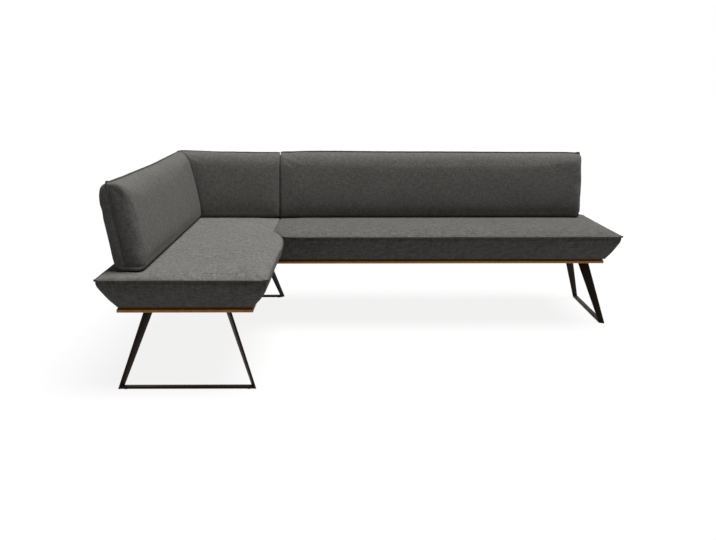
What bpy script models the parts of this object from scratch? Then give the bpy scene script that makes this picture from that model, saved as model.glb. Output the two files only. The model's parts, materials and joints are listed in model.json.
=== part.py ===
"""Corner bench: an upholstered corner module and a longer side module on three sled frames.

Metres, +Z up. The origin is on the floor at the middle of the bench's outline. X runs along
the long module and Y along the corner module, from its free end to the back of the bench.
"""

import math
from collections import namedtuple

import bmesh
import bpy
from mathutils import Vector

# Clearances
CLEARANCE = 0.0003
SOFT_JOINT_GAP = 0.0012
FOAM_GAP = 0.0008

# Base plates, in oiled oak
PLATE_DEPTH = 0.560
CORNER_LENGTH = 1.505
LONG_LENGTH = 1.710
PLATE_UNDERSIDE = 0.3245
PLATE_THICKNESS = 0.022
PLATE_CHAMFER_IN = 0.006
PLATE_CHAMFER_DOWN = 0.013
PLATE_EASE = 0.0015

# Seat upholstery
SEAT_OVERHANG = 0.063
SEAT_FOOT_INSET = 0.001
SEAM_HEIGHT = 0.4725
SEAT_TOP = 0.4942
SEAT_SIDE_CURVE = 2.0
CROWN_CURVE = 2.2
CROWN_REACH = 0.150
CROWN_SPACING = 1.6
SEAT_FOOT_RADIUS = 0.022
SEAT_SEAM_RADIUS = 0.009
SEAT_TOP_RADIUS = 0.045
COVER_WALL = 0.005
RIDGE_OUT = 0.0035
RIDGE_HEIGHT = 0.005
EAR_RADIUS = 0.0015
BULGE_BEGINS = 0.130
BULGE_ENDS = 0.100
JOINT_LIFT = 0.012
JOINT_LIFT_REACH = 0.060

# Seat frames, in timber, and their webbing
RAIL_HEIGHT = 0.052
RAIL_THICKNESS = 0.030
CORNER_CROSS_RAIL_COUNT = 3
LONG_CROSS_RAIL_COUNT = 3
WEBBING_WIDTH = 0.060
WEBBING_THICKNESS = 0.002
CORNER_STRAP_COUNT = 9
LONG_STRAP_COUNT = 10
CROSSING_STRAP_COUNT = 3

# Backs
BACK_TOP = 0.8495
BACK_LEAN = math.radians(10.0)
BACK_FOOT_THICKNESS = 0.128
BACK_TOP_THICKNESS = 0.106
BACK_FACE_CROWN = 0.009
BACK_SEAM_FROM_REAR = 0.030
BACK_ROLL = 0.030
BACK_CORNER_RADIUS = 0.014
BACK_END_FLARE = 0.014
BACK_ROW_COUNT = 6
SIDE_BACK_END_INSET = 0.034
LONG_BACK_END_INSET = 0.016
REAR_PAD = 0.020
BOARD_THICKNESS = 0.018
BOARD_END_MARGIN = 0.050
BOARD_TOP_MARGIN = 0.060
BOARD_FOOT_MARGIN = 0.010

# Brackets that carry the backs
BRACKET_THICKNESS = 0.006
BRACKET_WIDTH = 0.040
BRACKET_FOOT = 0.362
BRACKET_TOP = 0.700
BRACKET_END_DISTANCE = 0.170
CORNER_BACK_BRACKET_COUNT = 1
SIDE_BACK_BRACKET_COUNT = 3
LONG_BACK_BRACKET_COUNT = 3

# Sled frames, in steel flat bar
LEG_THICKNESS = 0.008
LEG_FOOT_WIDTH = 0.0277
LEG_TOP_WIDTH = 0.057
LEG_TURN = math.radians(28.0)
FOOT_OVERREACH = 0.0085
FOOT_REACH = 0.022
LEG_LEAN_IN = 0.1065
LEG_LEAN_BACK = 0.079
FLOOR_BAR_WIDTH = 0.025
FLOOR_BAR_HEIGHT = 0.010
TOP_PLATE_END_INSET = 0.065
TOP_PLATE_WIDTH = 0.100
TOP_PLATE_THICKNESS = 0.006
TOP_PLATE_SETBACK = 0.034
GLIDE_RADIUS = 0.0095
GLIDE_HEIGHT = 0.002
GLIDE_FROM_BAR_END = 0.016
GLIDE_SIDE_COUNT = 16

# Joining plates and screw holes
JOINING_PLATE_LENGTH = 0.200
JOINING_PLATE_WIDTH = 0.040
JOINING_PLATE_THICKNESS = 0.004
JOINING_PLATE_PLACES = (0.090, 0.360)
SCREW_EDGE = 0.018
SCREW_HOLE_RADIUS = 0.0033
SCREW_HOLE_SIDE_COUNT = 10
HOLE_OVERRUN = 0.010

# Heights that follow from the sizes above
PLATE_TOP = PLATE_UNDERSIDE + PLATE_THICKNESS
SEAT_FOOT = PLATE_TOP + CLEARANCE
RAIL_TOP = SEAT_FOOT + RAIL_HEIGHT
WEBBING_TOP = RAIL_TOP + CLEARANCE + WEBBING_THICKNESS
BACK_FOOT = SEAT_TOP + CLEARANCE
TOP_PLATE_TOP = PLATE_UNDERSIDE - CLEARANCE
LEG_TOP = TOP_PLATE_TOP - TOP_PLATE_THICKNESS - CLEARANCE
BAR_FOOT = GLIDE_HEIGHT + CLEARANCE

# Half the sled's span at the foot, and the length of the plate on top of its legs
FOOT_HALF_SPAN = PLATE_DEPTH / 2 + FOOT_OVERREACH
TOP_PLATE_LENGTH = PLATE_DEPTH - 2 * TOP_PLATE_END_INSET

# Distances inwards from a plate's edge
BRACKET_INSET = COVER_WALL + REAR_PAD + CLEARANCE
RAIL_INSET = BRACKET_INSET + BRACKET_THICKNESS + CLEARANCE

# Places of the plates' edges
LEFT = -(PLATE_DEPTH + LONG_LENGTH) / 2
JOINT = LEFT + PLATE_DEPTH
RIGHT = JOINT + LONG_LENGTH
FRONT = -CORNER_LENGTH / 2
REAR = FRONT + CORNER_LENGTH
LONG_FRONT = REAR - PLATE_DEPTH

# One level of a seat's form. offset and joint_offset are outwards from the plate's edge, on a
# free side and at the joint. rise is the share of the side's height (0 to 1), then of the crown's
# (1 to 2), and raised is added to it.
SeatLevel = namedtuple("SeatLevel", "offset joint_offset rise raised radius")

# One level of a back's form, from its rear face (depth 0) to its front face (depth 1), moved
# forward by shift. inset draws its edges in, and ridge marks the seam's outermost line.
BackLevel = namedtuple("BackLevel", "depth shift inset ridge radius")

# Shares of a level's inset by which the kinds of end, the top and the foot of a back draw in.
END_SHARE = {"free": 1.0, "butt": 0.35, "mitre": 0.15}
TOP_SHARE = 1.35
FOOT_SHARE = 0.6

# Angle past which an edge of the upholstery is a crease.
SOFT_ANGLE = math.radians(50)

# A module's plate edges, the side of its joint, its seat's places across and along, and the
# number of its frame's cross rails and webbing straps.
Module = namedtuple("Module", "name left right front rear joint_side columns rows cross_rails "
                    "straps")

# A back: the plate edge it stands on, its run along that edge and the kind of each end.
Back = namedtuple("Back", "name edge start finish start_kind finish_kind columns brackets")


def clear_scene():
    """Remove every object, so that the script can run again in one session."""
    for item in list(bpy.data.objects):
        bpy.data.objects.remove(item, do_unlink=True)


def make_material(name, colour, roughness, metallic=0.0):
    """Return a plain material with a colour, a roughness and a metallic value."""
    material = bpy.data.materials.new(name)
    material.use_nodes = True
    shader = material.node_tree.nodes["Principled BSDF"]
    shader.inputs["Base Color"].default_value = (*colour, 1.0)
    shader.inputs["Roughness"].default_value = roughness
    shader.inputs["Metallic"].default_value = metallic
    return material


def make_object(name, mesh_data, material=None, smooth_angle=None):
    """Turn a bmesh into a named object; without a material it is a hidden cutter."""
    bmesh.ops.recalc_face_normals(mesh_data, faces=mesh_data.faces)
    mesh = bpy.data.meshes.new(name)
    mesh_data.to_mesh(mesh)
    mesh_data.free()
    item = bpy.data.objects.new(name, mesh)
    bpy.context.scene.collection.objects.link(item)
    if material is None:
        item.hide_render = True
        item.display_type = "WIRE"
        return item
    mesh.materials.append(material)
    if smooth_angle is not None:
        mesh.shade_smooth()
        mesh.set_sharp_from_angle(angle=smooth_angle)
    return item


def cut(item, *cutters):
    """Cut a piece with each cutter in turn."""
    for cutter in cutters:
        modifier = item.modifiers.new("cut", "BOOLEAN")
        modifier.operation = "DIFFERENCE"
        modifier.object = cutter


def add_loft(mesh_data, rings):
    """Skin a row of rings, which have the same number of points, and close both ends."""
    loops = [[mesh_data.verts.new(point) for point in ring] for ring in rings]
    for lower, upper in zip(loops, loops[1:]):
        for index in range(len(lower)):
            following = (index + 1) % len(lower)
            mesh_data.faces.new((lower[index], lower[following], upper[following], upper[index]))
    mesh_data.faces.new(list(reversed(loops[0])))
    mesh_data.faces.new(loops[-1])


def add_box(mesh_data, low, high):
    """Add a box between two corners."""
    base = [(low[0], low[1]), (high[0], low[1]), (high[0], high[1]), (low[0], high[1])]
    add_loft(mesh_data, [[Vector((x, y, z)) for x, y in base] for z in (low[2], high[2])])


def add_cylinder(mesh_data, centre, radius, bottom, top, sides):
    """Add an upright cylinder."""
    turns = [2 * math.pi * side / sides for side in range(sides)]
    rings = [[Vector((centre[0] + radius * math.cos(turn), centre[1] + radius * math.sin(turn), z))
              for turn in turns] for z in (bottom, top)]
    add_loft(mesh_data, rings)


def spread(first, last, steps):
    """Return steps + 1 evenly spaced values."""
    return [first + (last - first) * step / steps for step in range(steps + 1)]


def blend(first, last, share):
    """Return the value a share of the way from first to last."""
    return first + (last - first) * share


def rounded_outline(left, right, low, high, radius, columns, rows):
    """Points round a box, anticlockwise, whose left and right edges may follow a curve.

    left and right give the edge at a place along the rows; rows gives those places.
    """
    start, finish = low + radius, high - radius
    half = radius * (1 - math.sqrt(0.5))
    places = rows(start, finish)
    points = [(x, low) for x in spread(left(start) + radius, right(start) - radius, columns)]
    points.append((right(start) - half, low + half))
    points += [(right(y), y) for y in places]
    points.append((right(finish) - half, high - half))
    points += [(x, high) for x in spread(right(finish) - radius, left(finish) + radius, columns)]
    points.append((left(finish) + half, high - half))
    points += [(left(y), y) for y in reversed(places)]
    points.append((left(start) + half, low + half))
    return points


def bulge(y):
    """How much of the overhang the corner seat keeps beside the long seat: 1 in front, then 0."""
    begins, ends = LONG_FRONT - BULGE_BEGINS, LONG_FRONT + BULGE_ENDS
    share = min(max((y - begins) / (ends - begins), 0.0), 1.0)
    return 0.5 * (1 + math.cos(math.pi * share))


def corner_rows(start, finish):
    """Places along the corner seat's long sides, closer where the inner corner curves."""
    begins, ends = LONG_FRONT - BULGE_BEGINS, LONG_FRONT + BULGE_ENDS
    return spread(start, begins, 4) + spread(begins, ends, 8)[1:] + spread(ends, finish, 4)[1:]


def long_rows(start, finish):
    """Places across the long seat, closer where it meets the inner corner's curve."""
    ends = max(LONG_FRONT + BULGE_ENDS, blend(start, finish, 0.3))
    return spread(start, ends, 6) + spread(ends, finish, 3)[1:]


CORNER_MODULE = Module("corner", LEFT, JOINT, FRONT, REAR, "right", 4, corner_rows,
                       CORNER_CROSS_RAIL_COUNT, CORNER_STRAP_COUNT)
LONG_MODULE = Module("long", JOINT, RIGHT, LONG_FRONT, REAR, "left", 12, long_rows,
                     LONG_CROSS_RAIL_COUNT, LONG_STRAP_COUNT)


def side_offset(rise):
    """Offset of the seat's flaring side at a share of its height."""
    return blend(-SEAT_FOOT_INSET, SEAT_OVERHANG, 1 - (1 - rise) ** SEAT_SIDE_CURVE)


def crown_rise(distance):
    """Share of the crown's height at a distance inwards from the seam."""
    return 1 - (1 - min(distance / CROWN_REACH, 1.0)) ** CROWN_CURVE


def seat_levels(side_steps, crown_steps, ridge):
    """Levels of a seat's form, from its foot to the flat of its crown."""
    rises = spread(0.0, 1.0, side_steps)
    levels = [SeatLevel(min(side_offset(rise), SEAT_OVERHANG - RIDGE_OUT), 0.0, rise, 0.0,
                        blend(SEAT_FOOT_RADIUS, SEAT_SEAM_RADIUS, rise)) for rise in rises[:-1]]
    edge = SEAT_OVERHANG - RIDGE_OUT
    if ridge:
        levels.append(SeatLevel(edge, 0.0, 1.0, -RIDGE_HEIGHT / 2, SEAT_SEAM_RADIUS))
        levels.append(SeatLevel(SEAT_OVERHANG, 0.0, 1.0, 0.0, EAR_RADIUS))
        levels.append(SeatLevel(edge, 0.0, 1.0, RIDGE_HEIGHT / 2, SEAT_SEAM_RADIUS))
    else:
        levels.append(SeatLevel(edge, 0.0, 1.0, 0.0, SEAT_SEAM_RADIUS))
    for share in spread(0.0, 1.0, crown_steps)[1:]:
        distance = CROWN_REACH * share ** CROWN_SPACING
        levels.append(SeatLevel(edge - distance, -distance, 1 + crown_rise(distance), 0.0,
                                blend(SEAT_SEAM_RADIUS, SEAT_TOP_RADIUS, share)))
    return levels


def joint_lift(x, y):
    """Extra height of the seats' edges where the two modules press together."""
    near = math.exp(-((x - JOINT) / JOINT_LIFT_REACH) ** 2)
    from_rear = min(max((REAR + SEAT_OVERHANG - y) / (2 * JOINT_LIFT_REACH), 0.0), 1.0)
    return JOINT_LIFT * near * (1 - bulge(y)) * from_rear


def seat_ring(module, level, inset):
    """Points of one level of a seat, all drawn in by the inset."""
    wall_offset = level.offset - level.joint_offset
    joint_slack = inset + SOFT_JOINT_GAP / 2

    def free_edge(place, outward):
        return lambda y: place + outward * (level.offset - inset)

    def joint_edge(outward):
        return lambda y: (JOINT + bulge(y) * wall_offset
                          + outward * (level.joint_offset - joint_slack))

    if module.joint_side == "right":
        left, right = free_edge(module.left, -1), joint_edge(1)
    else:
        left, right = joint_edge(-1), free_edge(module.right, 1)
    outline = rounded_outline(left, right, module.front - level.offset + inset,
                              module.rear + level.offset - inset, level.radius,
                              module.columns, module.rows)
    points = []
    for x, y in outline:
        seam = SEAM_HEIGHT + joint_lift(x, y)
        height = blend(SEAT_FOOT, seam, min(level.rise, 1.0)) + level.raised
        height += max(level.rise - 1, 0.0) * (SEAT_TOP - seam)
        height -= inset if level.rise >= 1 else 0.0
        points.append(Vector((x, y, height)))
    return points


def add_seat_form(mesh_data, module, levels, inset, foot):
    """Loft a seat's form, standing at a foot height or reaching straight down to it."""
    rings = [seat_ring(module, level, inset) for level in levels]
    lowest = [Vector((point.x, point.y, foot)) for point in rings[0]]
    add_loft(mesh_data, [lowest] + (rings if foot < SEAT_FOOT else rings[1:]))


def back_lean(z):
    """Offset outwards of the line that a back's rear face follows."""
    return (z - BACK_FOOT) * math.tan(BACK_LEAN)


def back_thickness(z):
    """Thickness of a back at a height."""
    return blend(BACK_FOOT_THICKNESS, BACK_TOP_THICKNESS, (z - BACK_FOOT) / (BACK_TOP - BACK_FOOT))


def back_levels(fine):
    """Levels of a back's form, from its rear face over the seam to its front face."""
    crown, seam, roll = BACK_FACE_CROWN, BACK_SEAM_FROM_REAR, BACK_ROLL
    corner, height = BACK_CORNER_RADIUS, BACK_TOP - BACK_FOOT
    half = RIDGE_HEIGHT / 2
    if not fine:
        return [BackLevel(0.0, 0.0, roll, False, 2 * corner),
                BackLevel(0.0, seam, 0.0, False, corner),
                BackLevel(0.5, 0.0, roll / 10, False, corner),
                BackLevel(1.0, -roll, roll / 3, False, corner),
                BackLevel(1.0, -roll / 6, roll, False, 1.5 * corner),
                BackLevel(1.0, crown / 2, height / 4, False, 2 * corner)]
    return [BackLevel(0.0, -crown, height / 4, False, 2 * corner),
            BackLevel(0.0, -crown / 2, height / 8, False, 2 * corner),
            BackLevel(0.0, crown / 4, roll / 2, False, 1.5 * corner),
            BackLevel(0.0, crown, roll / 10, False, corner),
            BackLevel(0.0, seam - half, 0.0, False, corner),
            BackLevel(0.0, seam, 0.0, True, EAR_RADIUS),
            BackLevel(0.0, seam + half, 0.0, False, corner),
            BackLevel(0.35, 0.0, roll / 30, False, corner),
            BackLevel(0.60, 0.0, roll / 8, False, corner),
            BackLevel(1.0, -roll, roll / 3, False, corner),
            BackLevel(1.0, -0.55 * roll, roll / 2, False, 1.2 * corner),
            BackLevel(1.0, -roll / 4, 0.8 * roll, False, 1.5 * corner),
            BackLevel(1.0, -roll / 12, 1.2 * roll, False, 2 * corner),
            BackLevel(1.0, crown / 2, height / 5, False, 2 * corner),
            BackLevel(1.0, crown, height / 3, False, 2 * corner)]


def back_ring(back, level, inset, foot):
    """Points of one level of a back, all drawn in by the inset and standing at the foot."""
    ridge = RIDGE_OUT if level.ridge else 0.0

    def outward(z):
        push = inset * (1 - 2 * level.depth)
        return back_lean(z) - level.depth * back_thickness(z) - level.shift - push

    def end_edge(place, kind, inward):
        def edge(z):
            drawn_in = level.inset * END_SHARE[kind] + inset
            if kind == "free":
                drawn_in -= ridge + BACK_END_FLARE * (z - BACK_FOOT) / (BACK_TOP - BACK_FOOT)
            else:
                drawn_in += SOFT_JOINT_GAP / 2
            if kind == "mitre":
                drawn_in -= outward(z)
            return place + inward * drawn_in
        return edge

    outline = rounded_outline(end_edge(back.start, back.start_kind, 1),
                              end_edge(back.finish, back.finish_kind, -1),
                              foot + level.inset * FOOT_SHARE,
                              BACK_TOP - level.inset * TOP_SHARE - inset + ridge,
                              level.radius, back.columns,
                              lambda start, finish: spread(start, finish, BACK_ROW_COUNT))
    return [back_point(back, s, outward(z), z) for s, z in outline]


def back_point(back, along, outward, height):
    """Place a point given along a back's run, outwards from its plate edge, and up."""
    if back.edge == "left":
        return Vector((LEFT - outward, along, height))
    return Vector((along, REAR + outward, height))


SIDE_BACK = Back("side_back", "left", FRONT + SIDE_BACK_END_INSET, REAR, "free", "mitre", 9,
                 SIDE_BACK_BRACKET_COUNT)
CORNER_BACK = Back("corner_back", "rear", LEFT, JOINT, "mitre", "butt", 4, CORNER_BACK_BRACKET_COUNT)
LONG_BACK = Back("long_back", "rear", JOINT, RIGHT - LONG_BACK_END_INSET, "butt", "free", 11,
                 LONG_BACK_BRACKET_COUNT)


def board_run(back):
    """First and last place of a back's board along its run."""
    depth = BRACKET_INSET + BRACKET_THICKNESS + BOARD_THICKNESS
    start = back.start + BOARD_END_MARGIN + (depth if back.start_kind == "mitre" else 0.0)
    finish = back.finish - BOARD_END_MARGIN - (depth if back.finish_kind == "mitre" else 0.0)
    return start, finish


def bracket_places(back):
    """Middle of each bracket along a back's run."""
    start, finish = board_run(back)
    if back.brackets == 1:
        return [(start + finish) / 2]
    return spread(start + BRACKET_END_DISTANCE, finish - BRACKET_END_DISTANCE, back.brackets - 1)


def add_leaning_slab(mesh_data, back, run, inset, thickness, heights):
    """Add a slab that stands upright below the back's foot and leans with the back above it."""
    rings = []
    for along in run:
        outer = [(-inset + max(back_lean(z), 0.0), z) for z in heights]
        inner = [(u - thickness, z) for u, z in reversed(outer)]
        rings.append([back_point(back, along, u, z) for u, z in outer + inner])
    add_loft(mesh_data, rings)


def build_back(back, materials):
    """Build one back: its cover, foam, board and brackets. Returns the brackets' seat cutter."""
    start, finish = board_run(back)
    board_inset = BRACKET_INSET + BRACKET_THICKNESS + CLEARANCE
    board_foot = BACK_FOOT + BOARD_FOOT_MARGIN
    board_top = BACK_TOP - BOARD_TOP_MARGIN

    cover_mesh = bmesh.new()
    add_loft(cover_mesh, [back_ring(back, level, 0.0, BACK_FOOT) for level in back_levels(True)])
    cavity_mesh = bmesh.new()
    below = BACK_FOOT - 2 * BACK_ROLL
    add_loft(cavity_mesh, [back_ring(back, level, COVER_WALL, below)
                           for level in back_levels(False)])
    cover = make_object(back.name + "_cover", cover_mesh, materials["fabric"], SOFT_ANGLE)
    cut(cover, make_object(back.name + "_cavity", cavity_mesh))

    foam_mesh = bmesh.new()
    foam_foot = BACK_FOOT + CLEARANCE
    add_loft(foam_mesh, [back_ring(back, level, COVER_WALL + FOAM_GAP, foam_foot)
                         for level in back_levels(False)])
    foam = make_object(back.name + "_foam", foam_mesh, materials["foam"], SOFT_ANGLE)

    board_mesh = bmesh.new()
    add_leaning_slab(board_mesh, back, (start, finish), board_inset, BOARD_THICKNESS,
                     (board_foot, board_top))
    make_object(back.name + "_board", board_mesh, materials["plywood"])
    board_room = bmesh.new()
    add_leaning_slab(board_room, back, (start - CLEARANCE, finish + CLEARANCE),
                     board_inset - CLEARANCE, BOARD_THICKNESS + 2 * CLEARANCE,
                     (below, BACK_FOOT, board_top + CLEARANCE))

    bracket_room, seat_room = bmesh.new(), bmesh.new()
    half = BRACKET_WIDTH / 2
    for number, place in enumerate(bracket_places(back), start=1):
        run = (place - half, place + half)
        bracket_mesh = bmesh.new()
        add_leaning_slab(bracket_mesh, back, run, BRACKET_INSET, BRACKET_THICKNESS,
                         (BRACKET_FOOT, BACK_FOOT, BRACKET_TOP))
        make_object("%s_bracket_%d" % (back.name, number), bracket_mesh,
                    materials["black_steel"])
        roomy = (run[0] - CLEARANCE, run[1] + CLEARANCE)
        room_depth = BRACKET_THICKNESS + 3 * CLEARANCE
        add_leaning_slab(bracket_room, back, roomy, BRACKET_INSET - CLEARANCE, room_depth,
                         (below, BACK_FOOT, BRACKET_TOP + CLEARANCE))
        add_leaning_slab(seat_room, back, roomy, BRACKET_INSET - CLEARANCE, room_depth,
                         (PLATE_UNDERSIDE, BACK_FOOT, BACK_FOOT + HOLE_OVERRUN))
    cut(foam, make_object(back.name + "_board_room", board_room),
        make_object(back.name + "_bracket_room", bracket_room))
    return make_object(back.name + "_seat_slots", seat_room)


def build_base_plate(module, oak):
    """Build a base plate with its chamfered edges."""
    seam = CLEARANCE / 2
    sides = [(PLATE_EASE, PLATE_UNDERSIDE), (0.0, PLATE_UNDERSIDE + PLATE_EASE),
             (0.0, PLATE_TOP - PLATE_CHAMFER_DOWN), (PLATE_CHAMFER_IN, PLATE_TOP)]
    left = module.left + (seam if module.joint_side == "left" else 0.0)
    right = module.right - (seam if module.joint_side == "right" else 0.0)
    rings = [[Vector((left + inset, module.front + inset, z)),
              Vector((right - inset, module.front + inset, z)),
              Vector((right - inset, module.rear - inset, z)),
              Vector((left + inset, module.rear - inset, z))] for inset, z in sides]
    mesh_data = bmesh.new()
    add_loft(mesh_data, rings)
    make_object(module.name + "_base_plate", mesh_data, oak)


def build_seat(module, slots, materials):
    """Build one seat: its cover, foam, timber frame and webbing."""
    coarse = seat_levels(3, 3, False)
    cover_mesh = bmesh.new()
    add_seat_form(cover_mesh, module, seat_levels(5, 5, True), 0.0, SEAT_FOOT)
    cavity_mesh = bmesh.new()
    add_seat_form(cavity_mesh, module, coarse, COVER_WALL, PLATE_UNDERSIDE)
    cover = make_object(module.name + "_seat_cover", cover_mesh, materials["fabric"], SOFT_ANGLE)
    cut(cover, make_object(module.name + "_seat_cavity", cavity_mesh), *slots)

    left, right = module.left + RAIL_INSET, module.right - RAIL_INSET
    front, rear = module.front + RAIL_INSET, module.rear - RAIL_INSET
    foam_mesh = bmesh.new()
    add_seat_form(foam_mesh, module, coarse, COVER_WALL + FOAM_GAP, SEAT_FOOT + CLEARANCE)
    foam = make_object(module.name + "_seat_foam", foam_mesh, materials["foam"], SOFT_ANGLE)
    pocket = bmesh.new()
    add_box(pocket, (left - CLEARANCE, front - CLEARANCE, PLATE_UNDERSIDE),
            (right + CLEARANCE, rear + CLEARANCE, WEBBING_TOP + CLEARANCE))
    cut(foam, make_object(module.name + "_frame_room", pocket), *slots)

    build_seat_frame(module, (left, right, front, rear), materials)


def build_grid(name, outline, heights, bars, bar_widths, material):
    """Build a flat grid of bars as one body: a sheet with its openings cut out.

    bars and bar_widths are given along X, for the bars that stand side by side there, then Y.
    """
    left, right, front, rear = outline
    sheet, openings = bmesh.new(), bmesh.new()
    add_box(sheet, (left, front, heights[0]), (right, rear, heights[1]))
    spans = []
    for (low, high), count, width in zip(((left, right), (front, rear)), bars, bar_widths):
        places = spread(low, high - width, count - 1)
        spans.append([(place + width, following) for place, following in zip(places, places[1:])])
    for x_low, x_high in spans[0]:
        for y_low, y_high in spans[1]:
            add_box(openings, (x_low, y_low, heights[0] - HOLE_OVERRUN),
                    (x_high, y_high, heights[1] + HOLE_OVERRUN))
    grid = make_object(name, sheet, material)
    cut(grid, make_object(name + "_openings", openings))


def build_seat_frame(module, outline, materials):
    """Build a seat's timber frame and the webbing stretched over it."""
    cross = module.cross_rails
    straps, crossing_straps = module.straps, CROSSING_STRAP_COUNT
    rails_x, rails_y = (2, cross) if module.name == "corner" else (cross, 2)
    straps_x, straps_y = ((crossing_straps, straps) if module.name == "corner"
                          else (straps, crossing_straps))
    build_grid(module.name + "_seat_frame", outline, (SEAT_FOOT, RAIL_TOP),
               (rails_x, rails_y), (RAIL_THICKNESS, RAIL_THICKNESS), materials["timber"])
    build_grid(module.name + "_seat_webbing", outline, (RAIL_TOP + CLEARANCE, WEBBING_TOP),
               (straps_x, straps_y), (WEBBING_WIDTH, WEBBING_WIDTH), materials["webbing"])


def sled_placer(edge):
    """Return a function that places a sled's points, given across, outwards and up."""
    middle_x, middle_y = (LEFT + JOINT) / 2, (LONG_FRONT + REAR) / 2
    return {"front": lambda across, out, z: Vector((middle_x + across, FRONT - out, z)),
            "rear": lambda across, out, z: Vector((middle_x + across, REAR + out, z)),
            "right": lambda across, out, z: Vector((RIGHT + out, middle_y + across, z))}[edge]


def leg_edge(z):
    """Place of a leg's outer edge at a height: across from the sled's middle, and outwards."""
    share = z / LEG_TOP
    return FOOT_HALF_SPAN - LEG_LEAN_IN * share, FOOT_REACH - LEG_LEAN_BACK * share


def leg_inner_face(out, z):
    """How far across from the middle a leg's inner face stands, at a place outwards and up."""
    across_edge, out_edge = leg_edge(z)
    along = (out_edge + LEG_THICKNESS * math.sin(LEG_TURN) - out) / math.cos(LEG_TURN)
    return across_edge - LEG_THICKNESS * math.cos(LEG_TURN) - along * math.sin(LEG_TURN)


def build_leg(name, place, hand, steel):
    """Build one leg, a flat bar that widens upwards, leans inwards and is turned to the end."""
    wide = Vector((-math.sin(LEG_TURN), -math.cos(LEG_TURN)))
    thick = Vector((-math.cos(LEG_TURN), math.sin(LEG_TURN))) * LEG_THICKNESS
    rings = []
    for z, width in ((BAR_FOOT, LEG_FOOT_WIDTH), (LEG_TOP, LEG_TOP_WIDTH)):
        outer = Vector(leg_edge(z))
        corners = (outer, outer + wide * width, outer + wide * width + thick, outer + thick)
        rings.append([place(hand * corner.x, corner.y, z) for corner in corners])
    mesh_data = bmesh.new()
    add_loft(mesh_data, rings)
    make_object(name, mesh_data, steel)


def build_floor_bar(name, place, steel):
    """Build the bar on the floor, its ends cut to the slope of the two legs it joins."""
    rings = []
    for hand in (-1, 1):
        corners = [(out, z) for out, z in ((FOOT_REACH - FLOOR_BAR_WIDTH, BAR_FOOT),
                                           (FOOT_REACH, BAR_FOOT),
                                           (FOOT_REACH, BAR_FOOT + FLOOR_BAR_HEIGHT),
                                           (FOOT_REACH - FLOOR_BAR_WIDTH,
                                            BAR_FOOT + FLOOR_BAR_HEIGHT))]
        rings.append([place(hand * (leg_inner_face(out, z) - CLEARANCE), out, z)
                      for out, z in corners])
    mesh_data = bmesh.new()
    add_loft(mesh_data, rings)
    make_object(name, mesh_data, steel)


def build_drilled_plate(name, low, high, centres, steel):
    """Build a flat steel plate under a base plate, with a hole for each of its screws."""
    plate_mesh, holes = bmesh.new(), bmesh.new()
    add_box(plate_mesh, low, high)
    for centre in centres:
        add_cylinder(holes, centre, SCREW_HOLE_RADIUS, low[2] - HOLE_OVERRUN,
                     high[2] + HOLE_OVERRUN, SCREW_HOLE_SIDE_COUNT)
    plate = make_object(name, plate_mesh, steel)
    cut(plate, make_object(name + "_holes", holes))


def build_glides(name, place, plastic):
    """Build the two round glides under the ends of a floor bar."""
    middle = FOOT_REACH - FLOOR_BAR_WIDTH / 2
    across = leg_inner_face(middle, BAR_FOOT) - GLIDE_FROM_BAR_END
    for side, hand in (("left", -1), ("right", 1)):
        mesh_data = bmesh.new()
        add_cylinder(mesh_data, place(hand * across, middle, 0.0), GLIDE_RADIUS, 0.0,
                     GLIDE_HEIGHT, GLIDE_SIDE_COUNT)
        make_object("%s_%s_glide" % (name, side), mesh_data, plastic, SOFT_ANGLE)


def build_sled(name, edge, materials):
    """Build one sled frame: two legs, floor bar, glides and the drilled plate above them."""
    place = sled_placer(edge)
    steel = materials["black_steel"]
    build_leg(name + "_left_leg", place, -1, steel)
    build_leg(name + "_right_leg", place, 1, steel)
    build_floor_bar(name + "_floor_bar", place, steel)
    build_glides(name, place, materials["glide"])
    half = TOP_PLATE_LENGTH / 2
    ends = [place(hand * half, out, 0.0) for hand, out in
            ((-1, -TOP_PLATE_SETBACK), (1, -TOP_PLATE_SETBACK - TOP_PLATE_WIDTH))]
    centres = [place(hand * (half - SCREW_EDGE), -TOP_PLATE_SETBACK - out, 0.0)
               for hand in (-1, 1) for out in (SCREW_EDGE, TOP_PLATE_WIDTH - SCREW_EDGE)]
    low = [min(values) for values in zip(*ends)]
    high = [max(values) for values in zip(*ends)]
    build_drilled_plate(name + "_top_plate",
                        (low[0], low[1], TOP_PLATE_TOP - TOP_PLATE_THICKNESS),
                        (high[0], high[1], TOP_PLATE_TOP), centres, steel)


def build_joining_plates(steel):
    """Build the plates under the joint, which carry the long module's free end."""
    half = JOINING_PLATE_LENGTH / 2
    for number, distance in enumerate(JOINING_PLATE_PLACES, start=1):
        y = LONG_FRONT + distance
        centres = [(JOINT + hand * along, y) for hand in (-1, 1)
                   for along in (half - SCREW_EDGE, (half - SCREW_EDGE) / 2)]
        build_drilled_plate("joining_plate_%d" % number,
                            (JOINT - half, y - JOINING_PLATE_WIDTH / 2,
                             TOP_PLATE_TOP - JOINING_PLATE_THICKNESS),
                            (JOINT + half, y + JOINING_PLATE_WIDTH / 2, TOP_PLATE_TOP),
                            centres, steel)


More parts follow.
